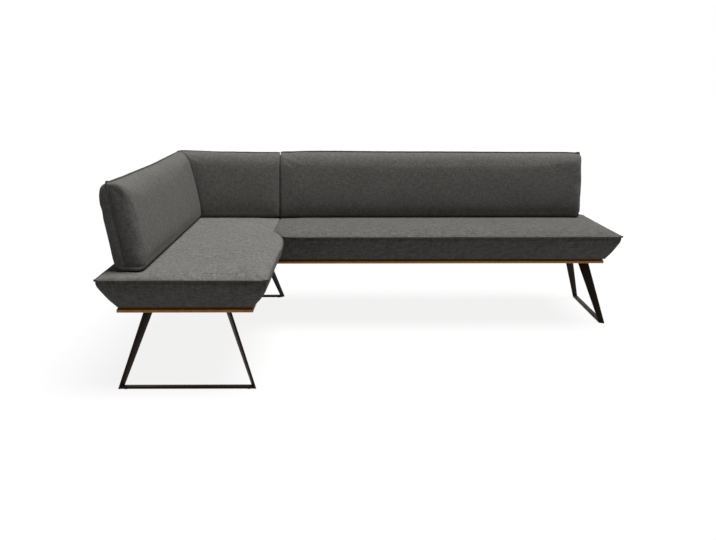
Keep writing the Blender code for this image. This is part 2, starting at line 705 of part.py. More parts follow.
def main():
    """Build the whole bench."""
    clear_scene()
    materials = {
        "fabric": make_material("fabric", (0.105, 0.100, 0.094), 0.95),
        "oak": make_material("oiled_oak", (0.42, 0.16, 0.045), 0.50),
        "black_steel": make_material("black_steel", (0.018, 0.017, 0.017), 0.45, 0.2),
        "timber": make_material("beech", (0.55, 0.38, 0.22), 0.65),
        "plywood": make_material("plywood", (0.50, 0.36, 0.21), 0.70),
        "foam": make_material("foam", (0.72, 0.68, 0.52), 0.90),
        "webbing": make_material("webbing", (0.08, 0.07, 0.06), 0.85),
        "glide": make_material("glide", (0.03, 0.03, 0.03), 0.60),
    }
    corner_slots = [build_back(SIDE_BACK, materials), build_back(CORNER_BACK, materials)]
    long_slots = [build_back(LONG_BACK, materials)]
    build_seat(CORNER_MODULE, corner_slots, materials)
    build_seat(LONG_MODULE, long_slots, materials)
    build_sled("front_sled", "front", materials)
    build_sled("corner_sled", "rear", materials)
    build_sled("right_sled", "right", materials)
    build_joining_plates(materials["black_steel"])
    build_base_plate(CORNER_MODULE, materials["oak"])
    build_base_plate(LONG_MODULE, materials["oak"])


main()
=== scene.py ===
"""Corner bench: the look of an upholstered corner bench on oak plates and black steel sleds.

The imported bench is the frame. Its covers, plates and sleds are replaced by finely made
pieces at the same places, what stays is finished, and a white studio is set round it.
Metres, +Z up.
"""

import json
import logging
import math
from collections.abc import Callable, Sequence
from dataclasses import dataclass, field
from enum import Enum

import bmesh
import bpy
import numpy as np
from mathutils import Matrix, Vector, kdtree, noise

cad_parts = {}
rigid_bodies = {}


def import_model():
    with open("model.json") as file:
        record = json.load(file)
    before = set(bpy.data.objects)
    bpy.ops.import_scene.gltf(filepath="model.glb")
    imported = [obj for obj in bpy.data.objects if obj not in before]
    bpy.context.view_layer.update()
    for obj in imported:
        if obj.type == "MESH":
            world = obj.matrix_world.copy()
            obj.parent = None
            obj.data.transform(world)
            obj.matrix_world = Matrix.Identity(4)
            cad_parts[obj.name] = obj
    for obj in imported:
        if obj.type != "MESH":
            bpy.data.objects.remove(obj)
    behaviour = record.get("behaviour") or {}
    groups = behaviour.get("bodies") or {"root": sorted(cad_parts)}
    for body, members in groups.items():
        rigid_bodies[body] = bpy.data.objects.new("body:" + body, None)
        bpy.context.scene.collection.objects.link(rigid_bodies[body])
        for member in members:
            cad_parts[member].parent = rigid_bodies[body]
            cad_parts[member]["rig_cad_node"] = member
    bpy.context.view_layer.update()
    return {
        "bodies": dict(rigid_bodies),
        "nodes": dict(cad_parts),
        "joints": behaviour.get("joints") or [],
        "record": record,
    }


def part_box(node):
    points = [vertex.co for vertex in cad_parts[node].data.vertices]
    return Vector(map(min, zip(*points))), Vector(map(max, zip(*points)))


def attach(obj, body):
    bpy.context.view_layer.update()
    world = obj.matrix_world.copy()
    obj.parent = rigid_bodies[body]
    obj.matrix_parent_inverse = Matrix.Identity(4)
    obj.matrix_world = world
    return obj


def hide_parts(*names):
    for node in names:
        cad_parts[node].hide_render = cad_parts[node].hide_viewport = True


Array = np.ndarray
Socket = bpy.types.NodeSocket
Colour = tuple[float, float, float]

CLOTH_MAP = "cloth"
ROOT = "root"

# The Mix node's sockets for two colours, and for the mixed one
MIX_FIRST, MIX_LAST, MIX_RESULT = 6, 7, 2

# The cloth of the simulation, light and fairly stiff
CLOTH_SETTINGS = {"quality": 4, "mass": 0.3, "tension_stiffness": 15.0,
                  "compression_stiffness": 15.0, "shear_stiffness": 5.0,
                  "bending_stiffness": 0.5, "use_pressure": True}

# Freedom below which a point of the cloth is held, and sharpness of the seam's crease
HELD_BELOW = 0.02
SEAM_CREASE = 0.8

# The cloth's slow waves, as turns per metre and height, its puckers' turns per metre, and
# the distance from a seam at which the slow waves are full
SLOW_WAVES = ((6.0, 1.0), (14.0, 0.5))
PUCKER_TURNS = 42.0
WAVES_FULL_AT = 0.05

# Rises and falls of a sewn seam: height, turns per metre and place in the noise
SEAM_WAVES = ((0.0011, 5.0, 0.3), (0.0006, 17.0, 2.1))

log = logging.getLogger("bench")


class Edge(Enum):
    """A plate edge on which a back stands."""

    LEFT = "left"
    REAR = "rear"


class End(Enum):
    """How a back's end is finished: open to view, against the next back, or in the corner."""

    FREE = "free"
    BUTT = "butt"
    MITRE = "mitre"


class Grain(Enum):
    """The direction of a board's grain, as an axis number."""

    ALONG_X = 0
    ALONG_Y = 1


def ease(share: Array | float) -> Array:
    """Return a share from 0 to 1, eased at both ends."""
    held = np.clip(share, 0.0, 1.0)
    return held * held * (3 - 2 * held)


def mix(first: Array | float, last: Array | float, share: Array | float) -> Array:
    """Return the value a share of the way from first to last."""
    return first + (last - first) * share


def closer_at_ends(steps: int, tightness: float) -> Array:
    """Divide 0 to 1 into steps that are shorter near both ends.

    Args:
        steps: How many steps to make.
        tightness: How much shorter the end steps are, from 0 to 1.

    Returns:
        The steps + 1 places from 0 to 1.
    """
    middles = (np.arange(steps) + 0.5) / steps
    lengths = 1 - tightness * np.abs(2 * middles - 1) ** 6
    places = np.concatenate([[0.0], np.cumsum(lengths)])
    return places / places[-1]


def through(knots: Sequence[tuple[float, float]], places: Array) -> Array:
    """Return the values of a smooth line through knots.

    Args:
        knots: The knots, each a place and a value, in order.
        places: Where the values are wanted.

    Returns:
        The values.
    """
    known, values = np.array(knots).T
    before = np.clip(np.searchsorted(known, places, side="right") - 1, 0, len(known) - 2)
    share = (places - known[before]) / (known[before + 1] - known[before])
    return mix(values[before], values[before + 1], ease(share))


def soften(p: Array, q: Array, radius: Array | float) -> tuple[Array, Array]:
    """Slide the points on a corner's two straight sides onto the arc that rounds it.

    Args:
        p: Distance of each point from the corner's first side.
        q: Distance of each point from its second side. One of the two is zero.
        radius: The arc's radius.

    Returns:
        The new distances from the first and from the second side.
    """
    along = p + q
    near = along < radius
    turn = np.pi / 4 * np.clip(1 - along / np.maximum(radius, 1e-9), 0.0, 1.0)
    slid, drawn = radius * (1 - np.sin(turn)), radius * (1 - np.cos(turn))
    on_second = q <= p
    return (np.where(near, np.where(on_second, slid, drawn), p),
            np.where(near, np.where(on_second, drawn, slid), q))


@dataclass(frozen=True)
class Layout:
    """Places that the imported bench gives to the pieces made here."""

    left: float
    joint: float
    right: float
    front: float
    rear: float
    long_front: float
    seat_foot: float
    seat_top: float
    back_foot: float
    leg_top: float

    @classmethod
    def from_frame(cls) -> "Layout":
        """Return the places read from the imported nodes."""
        corner_low, corner_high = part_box("corner_base_plate")
        long_low, long_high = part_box("long_base_plate")
        seat_low, seat_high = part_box("corner_seat_cover")
        return cls(left=corner_low.x, joint=(corner_high.x + long_low.x) / 2,
                   right=long_high.x, front=corner_low.y, rear=corner_high.y,
                   long_front=long_low.y, seat_foot=seat_low.z, seat_top=seat_high.z,
                   back_foot=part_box("long_back_cover")[0].z,
                   leg_top=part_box("front_sled_left_leg")[1].z)


class NodeSheet:
    """A material's node tree, with short ways to add nodes and join them."""

    def __init__(self, name: str) -> None:
        """Start a material with a Principled shader.

        Args:
            name: The material's name.
        """
        self.material = bpy.data.materials.new(name)
        self.material.use_nodes = True
        self.tree = self.material.node_tree
        self.shader = self.tree.nodes["Principled BSDF"]

    def feed(self, socket: Socket, value: Socket | float | Sequence[float]) -> None:
        """Join a socket to an output, or set its value."""
        if isinstance(value, Socket):
            self.tree.links.new(value, socket)
        else:
            socket.default_value = value

    def add(self, kind: str, settings: dict[str, object] | None = None,
            **inputs: Socket | float | Sequence[float]) -> bpy.types.Node:
        """Add a node.

        Args:
            kind: The node's type, without its ShaderNode prefix.
            settings: Values for the node's own properties.
            **inputs: What goes into the inputs, named with _ for a space.

        Returns:
            The node.
        """
        node = self.tree.nodes.new("ShaderNode" + kind)
        for name, value in (settings or {}).items():
            setattr(node, name, value)
        for name, value in inputs.items():
            self.feed(node.inputs[name.replace("_", " ")], value)
        return node

    def place(self) -> Socket:
        """Return the piece's own coordinates, in metres."""
        return self.add("TexCoord").outputs["Object"]

    def level(self, place: Socket) -> Socket:
        """Return the height in a set of coordinates."""
        return self.add("SeparateXYZ", None, Vector=place).outputs["Z"]

    def sum(self, operation: str, *values: Socket | float) -> Socket:
        """Return the result of a Math node."""
        node = self.add("Math", {"operation": operation})
        for socket, value in zip(node.inputs, values):
            self.feed(socket, value)
        return node.outputs[0]

    def blend(self, factor: Socket | float, first: Socket | Colour,
              last: Socket | Colour, mode: str = "MIX") -> Socket:
        """Mix two colours.

        Args:
            factor: The share of the last colour.
            first: The first colour.
            last: The last colour.
            mode: The Mix node's blend type.

        Returns:
            The mixed colour.
        """
        node = self.add("Mix", {"data_type": "RGBA", "blend_type": mode})
        self.feed(node.inputs[0], factor)
        for index, colour in ((MIX_FIRST, first), (MIX_LAST, last)):
            self.feed(node.inputs[index],
                      colour if isinstance(colour, Socket) else (*colour, 1.0))
        return node.outputs[MIX_RESULT]

    def spread(self, value: Socket, low: float, high: float, to_low: float = 0.0,
               to_high: float = 1.0) -> Socket:
        """Return a value's place between low and high, as one between to_low and to_high."""
        node = self.add("MapRange", None, Value=value, From_Min=low, From_Max=high,
                        To_Min=to_low, To_Max=to_high)
        return node.outputs["Result"]

    def stretched(self, place: Socket, scale: Sequence[float]) -> Socket:
        """Return coordinates multiplied by a scale for each axis."""
        node = self.add("VectorMath", {"operation": "MULTIPLY"})
        self.feed(node.inputs[0], place)
        self.feed(node.inputs[1], tuple(scale))
        return node.outputs[0]

    def cloudy(self, place: Socket, scale: float, detail: float = 2.0,
               roughness: float = 0.5) -> Socket:
        """Return a noise of about 0.5 on average."""
        node = self.add("TexNoise", None, Vector=place, Scale=scale, Detail=detail,
                        Roughness=roughness)
        return node.outputs[0]

    def bump(self, height: Socket, depth: float, strength: float = 1.0,
             over: Socket | None = None) -> Socket:
        """Turn a height from 0 to 1 into a normal.

        Args:
            height: The height.
            depth: What a height of 1 stands for, in metres.
            strength: How strongly the bump shows.
            over: A normal that this one is added to.

        Returns:
            The normal.
        """
        node = self.add("Bump", None, Height=height, Distance=depth, Strength=strength)
        if over is not None:
            self.feed(node.inputs["Normal"], over)
        return node.outputs["Normal"]

    def shade(self, **inputs: Socket | float | Sequence[float]) -> bpy.types.Material:
        """Feed the Principled shader's inputs and return the material."""
        for name, value in inputs.items():
            if isinstance(value, tuple) and len(value) == 3:
                value = (*value, 1.0)
            self.feed(self.shader.inputs[name.replace("_", " ")], value)
        return self.material


@dataclass(frozen=True)
class Finish:
    """A finish, which makes its material once.

    Attributes:
        name: The material's name.
        slot: The record's material slot; not used.
    """

    name: str
    slot: str

    def paint(self) -> bpy.types.Material:
        """Make the material."""
        raise NotImplementedError

    def material(self) -> bpy.types.Material:
        """Return the material, made on first use."""
        return bpy.data.materials.get(self.name) or self.paint()

    def dress(self, piece: bpy.types.Object) -> None:
        """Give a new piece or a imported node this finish."""
        if not piece.material_slots:
            piece.data.materials.append(self.material())
        for holder in piece.material_slots:
            holder.material = self.material()


@dataclass(frozen=True)
class MelangeCloth(Finish):
    """Flat-woven grey upholstery cloth, of yarns in several greys.

    Attributes:
        deep: Colour of the darkest yarns.
        middle: Colour of most yarns.
        pale: Colour of the palest yarns.
        tone: Brightness of the whole cloth.
        turned: Painted light: how much brighter the cloth is painted above a height, for the
            stronger light on the tops.
        painted_light_from: That height.
        painted_light_over: Height over which the painted light fades in.
        nap: Sheen of the fibres that stand up from it.
        yarn: Pitch of the weave, in metres.
        slub: Length over which a yarn keeps its grey.
        fleck: Width of the heathered streaks.
        streak: Length of the heathered streaks.
        heather: How much the streaks differ in brightness.
        relief: Height of a yarn over the gaps.
    """

    deep: Colour = (0.098, 0.095, 0.089)
    middle: Colour = (0.172, 0.168, 0.158)
    pale: Colour = (0.290, 0.284, 0.268)
    tone: float = 1.0
    turned: float = 1.0
    painted_light_from: float = 0.4740
    painted_light_over: float = 0.002
    nap: float = 0.05
    yarn: float = 0.0017
    slub: float = 0.016
    fleck: float = 0.0070
    streak: float = 0.032
    heather: float = 0.155
    relief: float = 0.0004

    def crossed(self, sheet: NodeSheet, cloth: Socket, short: float,
                long: float) -> tuple[Socket, Socket]:
        """Return two streaky noises, one along the warp and one along the weft.

        Args:
            sheet: The material's node tree.
            cloth: The woven coordinates.
            short: Width of the streaks.
            long: Length of the streaks.

        Returns:
            The warp's noise and the weft's.
        """
        scales = ((1 / short, 1 / long, 1.0), (1 / long, 1 / short, 1.0))
        warp, weft = (sheet.cloudy(sheet.stretched(cloth, scale), 1.0) for scale in scales)
        return warp, weft

    def over_under(self, sheet: NodeSheet, factor: Socket, weft: Socket,
                   warp: Socket) -> Socket:
        """Return the warp's value where it lies on top, and the weft's elsewhere."""
        node = sheet.add("Mix", {"data_type": "FLOAT"})
        for socket, value in zip(node.inputs[:1] + node.inputs[2:4], (factor, weft, warp)):
            sheet.feed(socket, value)
        return node.outputs[0]

    def paint(self) -> bpy.types.Material:
        """Make the cloth's material from its woven coordinates."""
        sheet = NodeSheet(self.name)
        cloth = sheet.add("UVMap", {"uv_map": CLOTH_MAP}).outputs["UV"]
        parts = sheet.add("SeparateXYZ", None, Vector=cloth)
        turns = math.pi / self.yarn
        across = sheet.sum("SINE", sheet.sum("MULTIPLY", parts.outputs["X"], turns))
        along = sheet.sum("SINE", sheet.sum("MULTIPLY", parts.outputs["Y"], turns))
        warp_over = sheet.spread(sheet.sum("MULTIPLY", across, along), -0.25, 0.25)
        warp, weft = self.crossed(sheet, cloth, self.yarn, self.slub)
        picked = self.over_under(sheet, warp_over, weft, warp)
        colour = sheet.blend(sheet.spread(picked, 0.30, 0.50), self.deep, self.middle)
        colour = sheet.blend(sheet.spread(picked, 0.52, 0.74), colour, self.pale)
        place = sheet.place()
        level = sheet.level(place)
        # Painted light: above a height the cloth's tone is painted brighter, for the stronger
        # light on the tops; this tone, named nap here, is not the cloth's nap
        nap = sheet.spread(level, self.painted_light_from, self.painted_light_from + self.painted_light_over,
                           self.tone, self.tone * self.turned)
        patches = sheet.spread(sheet.cloudy(place, 7.0, 3.0), 0.30, 0.70, 0.95, 1.05)
        tone = sheet.sum("MULTIPLY", nap, patches)
        for streaks in self.crossed(sheet, cloth, self.fleck, self.streak):
            shade = sheet.spread(streaks, 0.28, 0.72, 1 - self.heather, 1 + self.heather)
            tone = sheet.sum("MULTIPLY", tone, shade)
        tones = sheet.add("CombineColor", None, Red=tone, Green=tone, Blue=tone)
        colour = sheet.blend(1.0, colour, tones.outputs[0], "MULTIPLY")
        relief = self.over_under(sheet, warp_over, sheet.sum("ABSOLUTE", along),
                                 sheet.sum("ABSOLUTE", across))
        woven = sheet.bump(relief, self.relief, 0.5)
        fuzz = sheet.cloudy(place, 900.0, 2.0, 0.7)
        rough = sheet.spread(fuzz, 0.3, 0.7, 0.86, 0.98)
        return sheet.shade(Base_Color=colour, Roughness=rough, Specular_IOR_Level=0.04,
                           Sheen_Weight=self.nap, Sheen_Roughness=0.5,
                           Normal=sheet.bump(fuzz, 0.0002, 0.35, woven))


@dataclass(frozen=True)
class OiledOak(Finish):
    """Warm oiled oak with open pores, its grain along one axis.

    Attributes:
        grain: The direction of the grain.
        pale: Colour of the early wood.
        deep: Colour of the late wood.
        pore: Colour inside the pores.
        chamfer_painted_shade: Painted shade: how much darker the chamfer is painted, for the
            shadow under the cushion's overhang.
        chamfer_painted_shade_from: Height at which the chamfer and its painted shade begin.
    """

    grain: Grain = Grain.ALONG_X
    pale: Colour = (1.00, 0.52, 0.18)
    deep: Colour = (0.80, 0.36, 0.105)
    pore: Colour = (0.32, 0.13, 0.040)
    chamfer_painted_shade: Colour = (0.27, 0.19, 0.11)
    chamfer_painted_shade_from: float = 0.3358

    def scale(self, along: float, across: float) -> tuple[float, float, float]:
        """Return a scale that runs with the grain."""
        scale = [across, across, across]
        scale[self.grain.value] = along
        return tuple(scale)

    def paint(self) -> bpy.types.Material:
        """Make the oak's material."""
        sheet = NodeSheet(self.name)
        place = sheet.place()
        bands = sheet.cloudy(sheet.stretched(place, self.scale(1.1, 26.0)), 1.0, 3.0)
        fibres = sheet.cloudy(sheet.stretched(place, self.scale(9.0, 420.0)), 1.0, 3.0, 0.6)
        pores = sheet.cloudy(sheet.stretched(place, self.scale(45.0, 1300.0)), 1.0, 1.0)
        colour = sheet.blend(sheet.spread(bands, 0.34, 0.66), self.pale, self.deep)
        colour = sheet.blend(sheet.spread(fibres, 0.42, 0.80, 0.0, 0.45), colour, self.deep)
        open_pore = sheet.spread(pores, 0.62, 0.70)
        colour = sheet.blend(open_pore, colour, self.pore)
        level = sheet.level(place)
        # Painted shade: from the chamfer's height up the colour is multiplied darker, for the
        # shadow that the cushion casts on it
        cut = sheet.spread(level, self.chamfer_painted_shade_from - 0.0004, self.chamfer_painted_shade_from + 0.0004)
        colour = sheet.blend(cut, colour, sheet.blend(1.0, colour, self.chamfer_painted_shade, "MULTIPLY"))
        height = sheet.sum("SUBTRACT", sheet.sum("MULTIPLY", fibres, 0.4), open_pore)
        return sheet.shade(Base_Color=colour,
                           Roughness=sheet.spread(fibres, 0.3, 0.7, 0.46, 0.60),
                           Specular_IOR_Level=0.12, Normal=sheet.bump(height, 0.0002, 0.4))


@dataclass(frozen=True)
class PowderCoat(Finish):
    """Fine-grained black powder coat on steel, a little rubbed near the floor.

    Attributes:
        coat: The coat's colour.
        rubbed: Colour where shoes and mops have rubbed it.
        rub_height: Height above the floor to which it is rubbed.
    """

    coat: Colour = (0.0260, 0.0180, 0.0120)
    rubbed: Colour = (0.034, 0.027, 0.021)
    rub_height: float = 0.05

    def paint(self) -> bpy.types.Material:
        """Make the coat's material."""
        sheet = NodeSheet(self.name)
        place = sheet.place()
        grains = sheet.cloudy(place, 700.0, 2.0, 0.6)
        patches = sheet.cloudy(place, 24.0, 4.0, 0.6)
        low = sheet.spread(sheet.level(place), self.rub_height, 0.0)
        rub = sheet.sum("MULTIPLY", low, sheet.spread(patches, 0.52, 0.68))
        colour = sheet.blend(rub, self.coat, self.rubbed)
        rough = sheet.sum("ADD", sheet.spread(patches, 0.3, 0.7, 0.46, 0.56),
                          sheet.sum("MULTIPLY", rub, 0.15))
        return sheet.shade(Base_Color=colour, Roughness=rough, Specular_IOR_Level=0.07,
                           Normal=sheet.bump(grains, 0.00012, 0.5))


@dataclass(frozen=True)
class RawTimber(Finish):
    """Plain planed timber or plywood, for what the covers hide.

    Attributes:
        pale: The lighter colour of its streaks.
        deep: The darker colour of its streaks.
        stretch: Scale of the streaks along X, Y and Z, per metre.
    """

    pale: Colour = (0.60, 0.42, 0.25)
    deep: Colour = (0.42, 0.27, 0.14)
    stretch: tuple[float, float, float] = (8.0, 8.0, 300.0)

    def paint(self) -> bpy.types.Material:
        """Make the timber's material."""
        sheet = NodeSheet(self.name)
        place = sheet.place()
        streaks = sheet.cloudy(sheet.stretched(place, self.stretch), 1.0, 3.0, 0.6)
        colour = sheet.blend(sheet.spread(streaks, 0.35, 0.65), self.pale, self.deep)
        rough = sheet.spread(streaks, 0.3, 0.7, 0.6, 0.75)
        return sheet.shade(Base_Color=colour, Roughness=rough,
                           Normal=sheet.bump(streaks, 0.0003, 0.3))


@dataclass(frozen=True)
class JuteWeb(Finish):
    """Dark elastic webbing, ribbed across its straps.

    Attributes:
        dark: Colour between the ribs.
        light: Colour on the ribs.
        rib: Pitch of the ribs, in metres.
    """

    dark: Colour = (0.045, 0.040, 0.034)
    light: Colour = (0.120, 0.105, 0.088)
    rib: float = 0.003

    def paint(self) -> bpy.types.Material:
        """Make the webbing's material."""
        sheet = NodeSheet(self.name)
        place = sheet.place()
        axes = sheet.add("SeparateXYZ", None, Vector=place)
        turns = 2 * math.pi / self.rib
        ribs = [sheet.sum("SINE", sheet.sum("MULTIPLY", axes.outputs[axis], turns))
                for axis in ("X", "Y")]
        height = sheet.spread(sheet.sum("MULTIPLY", *ribs), -1.0, 1.0)
        colour = sheet.blend(height, self.dark, self.light)
        return sheet.shade(Base_Color=colour, Roughness=0.85,
                           Normal=sheet.bump(height, 0.0004, 0.6))


@dataclass(frozen=True)
class Moulded(Finish):
    """Moulded plastic or plated steel, with a fine grain.

    Attributes:
        colour: Its colour.
        variety: The colour of its patches.
        rough: Its roughness.
        metal: Its metallic value.
    """

    colour: Colour = (0.030, 0.030, 0.031)
    variety: Colour = (0.044, 0.043, 0.042)
    rough: float = 0.55
    metal: float = 0.0

    def paint(self) -> bpy.types.Material:
        """Make the material."""
        sheet = NodeSheet(self.name)
        place = sheet.place()
        grain = sheet.cloudy(place, 450.0, 3.0, 0.6)
        colour = sheet.blend(sheet.spread(grain, 0.35, 0.65), self.colour, self.variety)
        rough = sheet.spread(grain, 0.3, 0.7, self.rough - 0.06, self.rough + 0.06)
        return sheet.shade(Base_Color=colour, Roughness=rough, Metallic=self.metal,
                           Normal=sheet.bump(grain, 0.0001, 0.3))


@dataclass(frozen=True)
class Palette:
    """The bench's finishes."""

    # Painted highlight: the backs' cloth is painted 15 % brighter from 0.80 m up, on their top
    # rolls
    cloth: Finish = MelangeCloth("melange_cloth", "cover_fabric", turned=1.15,
                                 painted_light_from=0.80, painted_light_over=0.045)
    # Painted light: the corner seat's cloth is painted 32 % brighter above 0.474 m, on its top,
    # where the long seat's cloth is not
    painted_light_cloth: Finish = MelangeCloth("melange_cloth_painted_light", "cover_fabric", turned=1.32,
                                        fleck=0.010, streak=0.045, heather=0.20)
    seat_cloth: Finish = MelangeCloth("melange_cloth_seat", "cover_fabric",
                                      fleck=0.010, streak=0.045, heather=0.24)
    # Painted shade: the edging's cloth is painted 14 % darker than the rest, for the shade along
    # the seams
    edging: Finish = MelangeCloth("melange_edging_painted_shade", "cover_fabric", tone=0.86, nap=0.0)
    oak_across: Finish = OiledOak("oiled_oak_long", "oiled_oak", Grain.ALONG_X)
    oak_deep: Finish = OiledOak("oiled_oak_corner", "oiled_oak", Grain.ALONG_Y)
    steel: Finish = PowderCoat("black_powder_coat", "black_steel")
    beech: Finish = RawTimber("planed_beech", "beech")
    plywood: Finish = RawTimber("birch_plywood", "plywood", (0.56, 0.43, 0.27),
                                (0.36, 0.25, 0.14), (260.0, 260.0, 3.0))
    foam: Finish = Moulded("seat_foam", "foam", (0.74, 0.70, 0.54), (0.66, 0.61, 0.46), 0.92)
    webbing: Finish = JuteWeb("seat_webbing", "webbing")
    glide: Finish = Moulded("glide_plastic", "glide")
    screw: Finish = Moulded("blackened_screw", "black_steel", (0.030, 0.029, 0.028),
                            (0.055, 0.053, 0.050), 0.38, 0.8)


def show(name: str, data: bpy.types.ID) -> bpy.types.Object:
    """Put a mesh, light or camera into the scene as an object."""
    shown = bpy.data.objects.new(name, data)
    bpy.context.scene.collection.objects.link(shown)
    return shown


def woven_mesh(name: str, points: Array, faces: Sequence[Sequence[int]],
               woven: Array) -> bpy.types.Mesh:
    """Return a mesh with woven coordinates in metres, one pair for each face corner."""
    mesh = bpy.data.meshes.new(name)
    mesh.from_pydata(points.tolist(), [], faces)
    layer = mesh.uv_layers.new(name=CLOTH_MAP)
    layer.data.foreach_set("uv", woven.astype(np.float32).ravel())
    return mesh


def add_piece(name: str, mesh: bpy.types.Mesh | bmesh.types.BMesh,
              crease_angle: float = 35.0) -> bpy.types.Object:
    """Put a mesh into the scene as a piece, shaded smooth up to an angle.

    Args:
        name: The piece's name.
        mesh: Its mesh, or the bmesh to make it from.
        crease_angle: The angle in degrees past which an edge stays sharp.

    Returns:
        The piece.
    """
    if isinstance(mesh, bmesh.types.BMesh):
        made = bpy.data.meshes.new(name)
        mesh.to_mesh(made)
        mesh.free()
        mesh = made
    mesh.shade_smooth()
    mesh.set_sharp_from_angle(angle=math.radians(crease_angle))
    return show(name, mesh)


def settle(piece: bpy.types.Object, finish: Finish, *nodes: str) -> bpy.types.Object:
    """Finish a piece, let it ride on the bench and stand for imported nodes.

    Args:
        piece: The piece, in its place.
        finish: Its finish.
        *nodes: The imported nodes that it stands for.

    Returns:
        The piece.
    """
    finish.dress(piece)
    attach(piece, ROOT)
    if nodes:
        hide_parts(*nodes)
    log.info("%s: %d faces, %s", piece.name, len(piece.data.polygons), finish.name)
    return piece


def skin(form: bmesh.types.BMesh, rings: Sequence[Sequence[Vector]]) -> None:
    """Skin a row of rings in a form and close both ends.

    Args:
        form: The form to add to.
        rings: The rings, which have the same number of points.
    """
    loops = [[form.verts.new(point) for point in ring] for ring in rings]
    for lower, upper in zip(loops, loops[1:]):
        for index in range(len(lower)):
            after = (index + 1) % len(lower)
            form.faces.new((lower[index], lower[after], upper[after], upper[index]))
    form.faces.new(list(reversed(loops[0])))
    form.faces.new(loops[-1])
    bmesh.ops.recalc_face_normals(form, faces=form.faces)


def loft(rings: Sequence[Sequence[Vector]]) -> bmesh.types.BMesh:
    """Return the closed form skinned over a row of rings, its faces pointing out."""
    form = bmesh.new()
    skin(form, rings)
    return form


def round_edges(form: bmesh.types.BMesh, width: float) -> bmesh.types.BMesh:
    """Round every edge of a form and return it."""
    bmesh.ops.bevel(form, geom=list(form.edges), offset=width, segments=2, profile=0.5,
                    affect="EDGES", clamp_overlap=True)
    return form


@dataclass
class SeamLine:
    """A seam to be edged, in order along it.

    Attributes:
        points: Its points.
        outward: Unit directions in which its edging stands out.
        raised: Unit directions across the edging's thickness.
        ears: From 0 to 1, how much of an ear the edging has at each point.
        sizes: The share of its full size there.
    """

    points: Array
    outward: Array
    raised: Array
    ears: Array
    sizes: Array


@dataclass
class SeamEdging:
    """The raised edging of folded cloth along a seam, with an upturned ear at each corner.

    Attributes:
        reach: How far it stands out of the seam.
        root: How far it goes into it.
        thickness: Its thickness.
        ear_reach: How much further an ear's tip stands out.
        ear_lift: How much higher it stands.
        sides: Points round its section.
    """

    reach: float = 0.0070
    root: float = 0.0030
    thickness: float = 0.0036
    ear_reach: float = 0.0100
    ear_lift: float = 0.0040
    sides: int = 10

    def build(self, name: str, seam: SeamLine) -> bpy.types.Object:
        """Sweep the edging along a seam.

        Args:
            name: The piece's name.
            seam: The seam.

        Returns:
            The piece, with woven coordinates in metres.
        """
        turns = 2 * np.pi * np.arange(self.sides) / self.sides
        middle, half = (self.reach - self.root) / 2, (self.reach + self.root) / 2
        out = (middle + half * np.cos(turns))[None, :, None] * seam.outward[:, None, :]
        up = (self.thickness / 2 * np.sin(turns))[None, :, None] * seam.raised[:, None, :]
        size = (seam.sizes + seam.ears)[:, None, None]
        tip = np.maximum(np.cos(turns), 0.0)[None, :, None] * seam.ears[:, None, None]
        ear = tip * (self.ear_reach * seam.outward + self.ear_lift * seam.raised)[:, None, :]
        rings = seam.points[:, None, :] + seam.sizes[:, None, None] * out + size * up + ear
        rows = len(rings) - 1
        faces, woven = [], []
        steps = np.linalg.norm(np.diff(seam.points, axis=0), axis=1)
        lengths = np.concatenate([[0.0], np.cumsum(steps)])
        around = np.linspace(0.0, 2 * (half + self.thickness), self.sides + 1)
        for row in range(rows):
            after = row + 1
            for side in range(self.sides):
                beside = (side + 1) % self.sides
                faces.append((row * self.sides + side, after * self.sides + side,
                              after * self.sides + beside, row * self.sides + beside))
                woven += [(lengths[row], around[side]), (lengths[after], around[side]),
                          (lengths[after], around[side + 1]), (lengths[row], around[side + 1])]
        for first, order in ((0, 1), (rows * self.sides, -1)):
            faces.append(tuple(range(first, first + self.sides))[::order])
            woven += [(0.0, 0.0)] * self.sides
        mesh = woven_mesh(name, rings.reshape(-1, 3), faces, np.array(woven))
        made = bmesh.new()
        made.from_mesh(mesh)
        bmesh.ops.recalc_face_normals(made, faces=made.faces)
        made.to_mesh(mesh)
        made.free()
        return add_piece(name, mesh, 60.0)


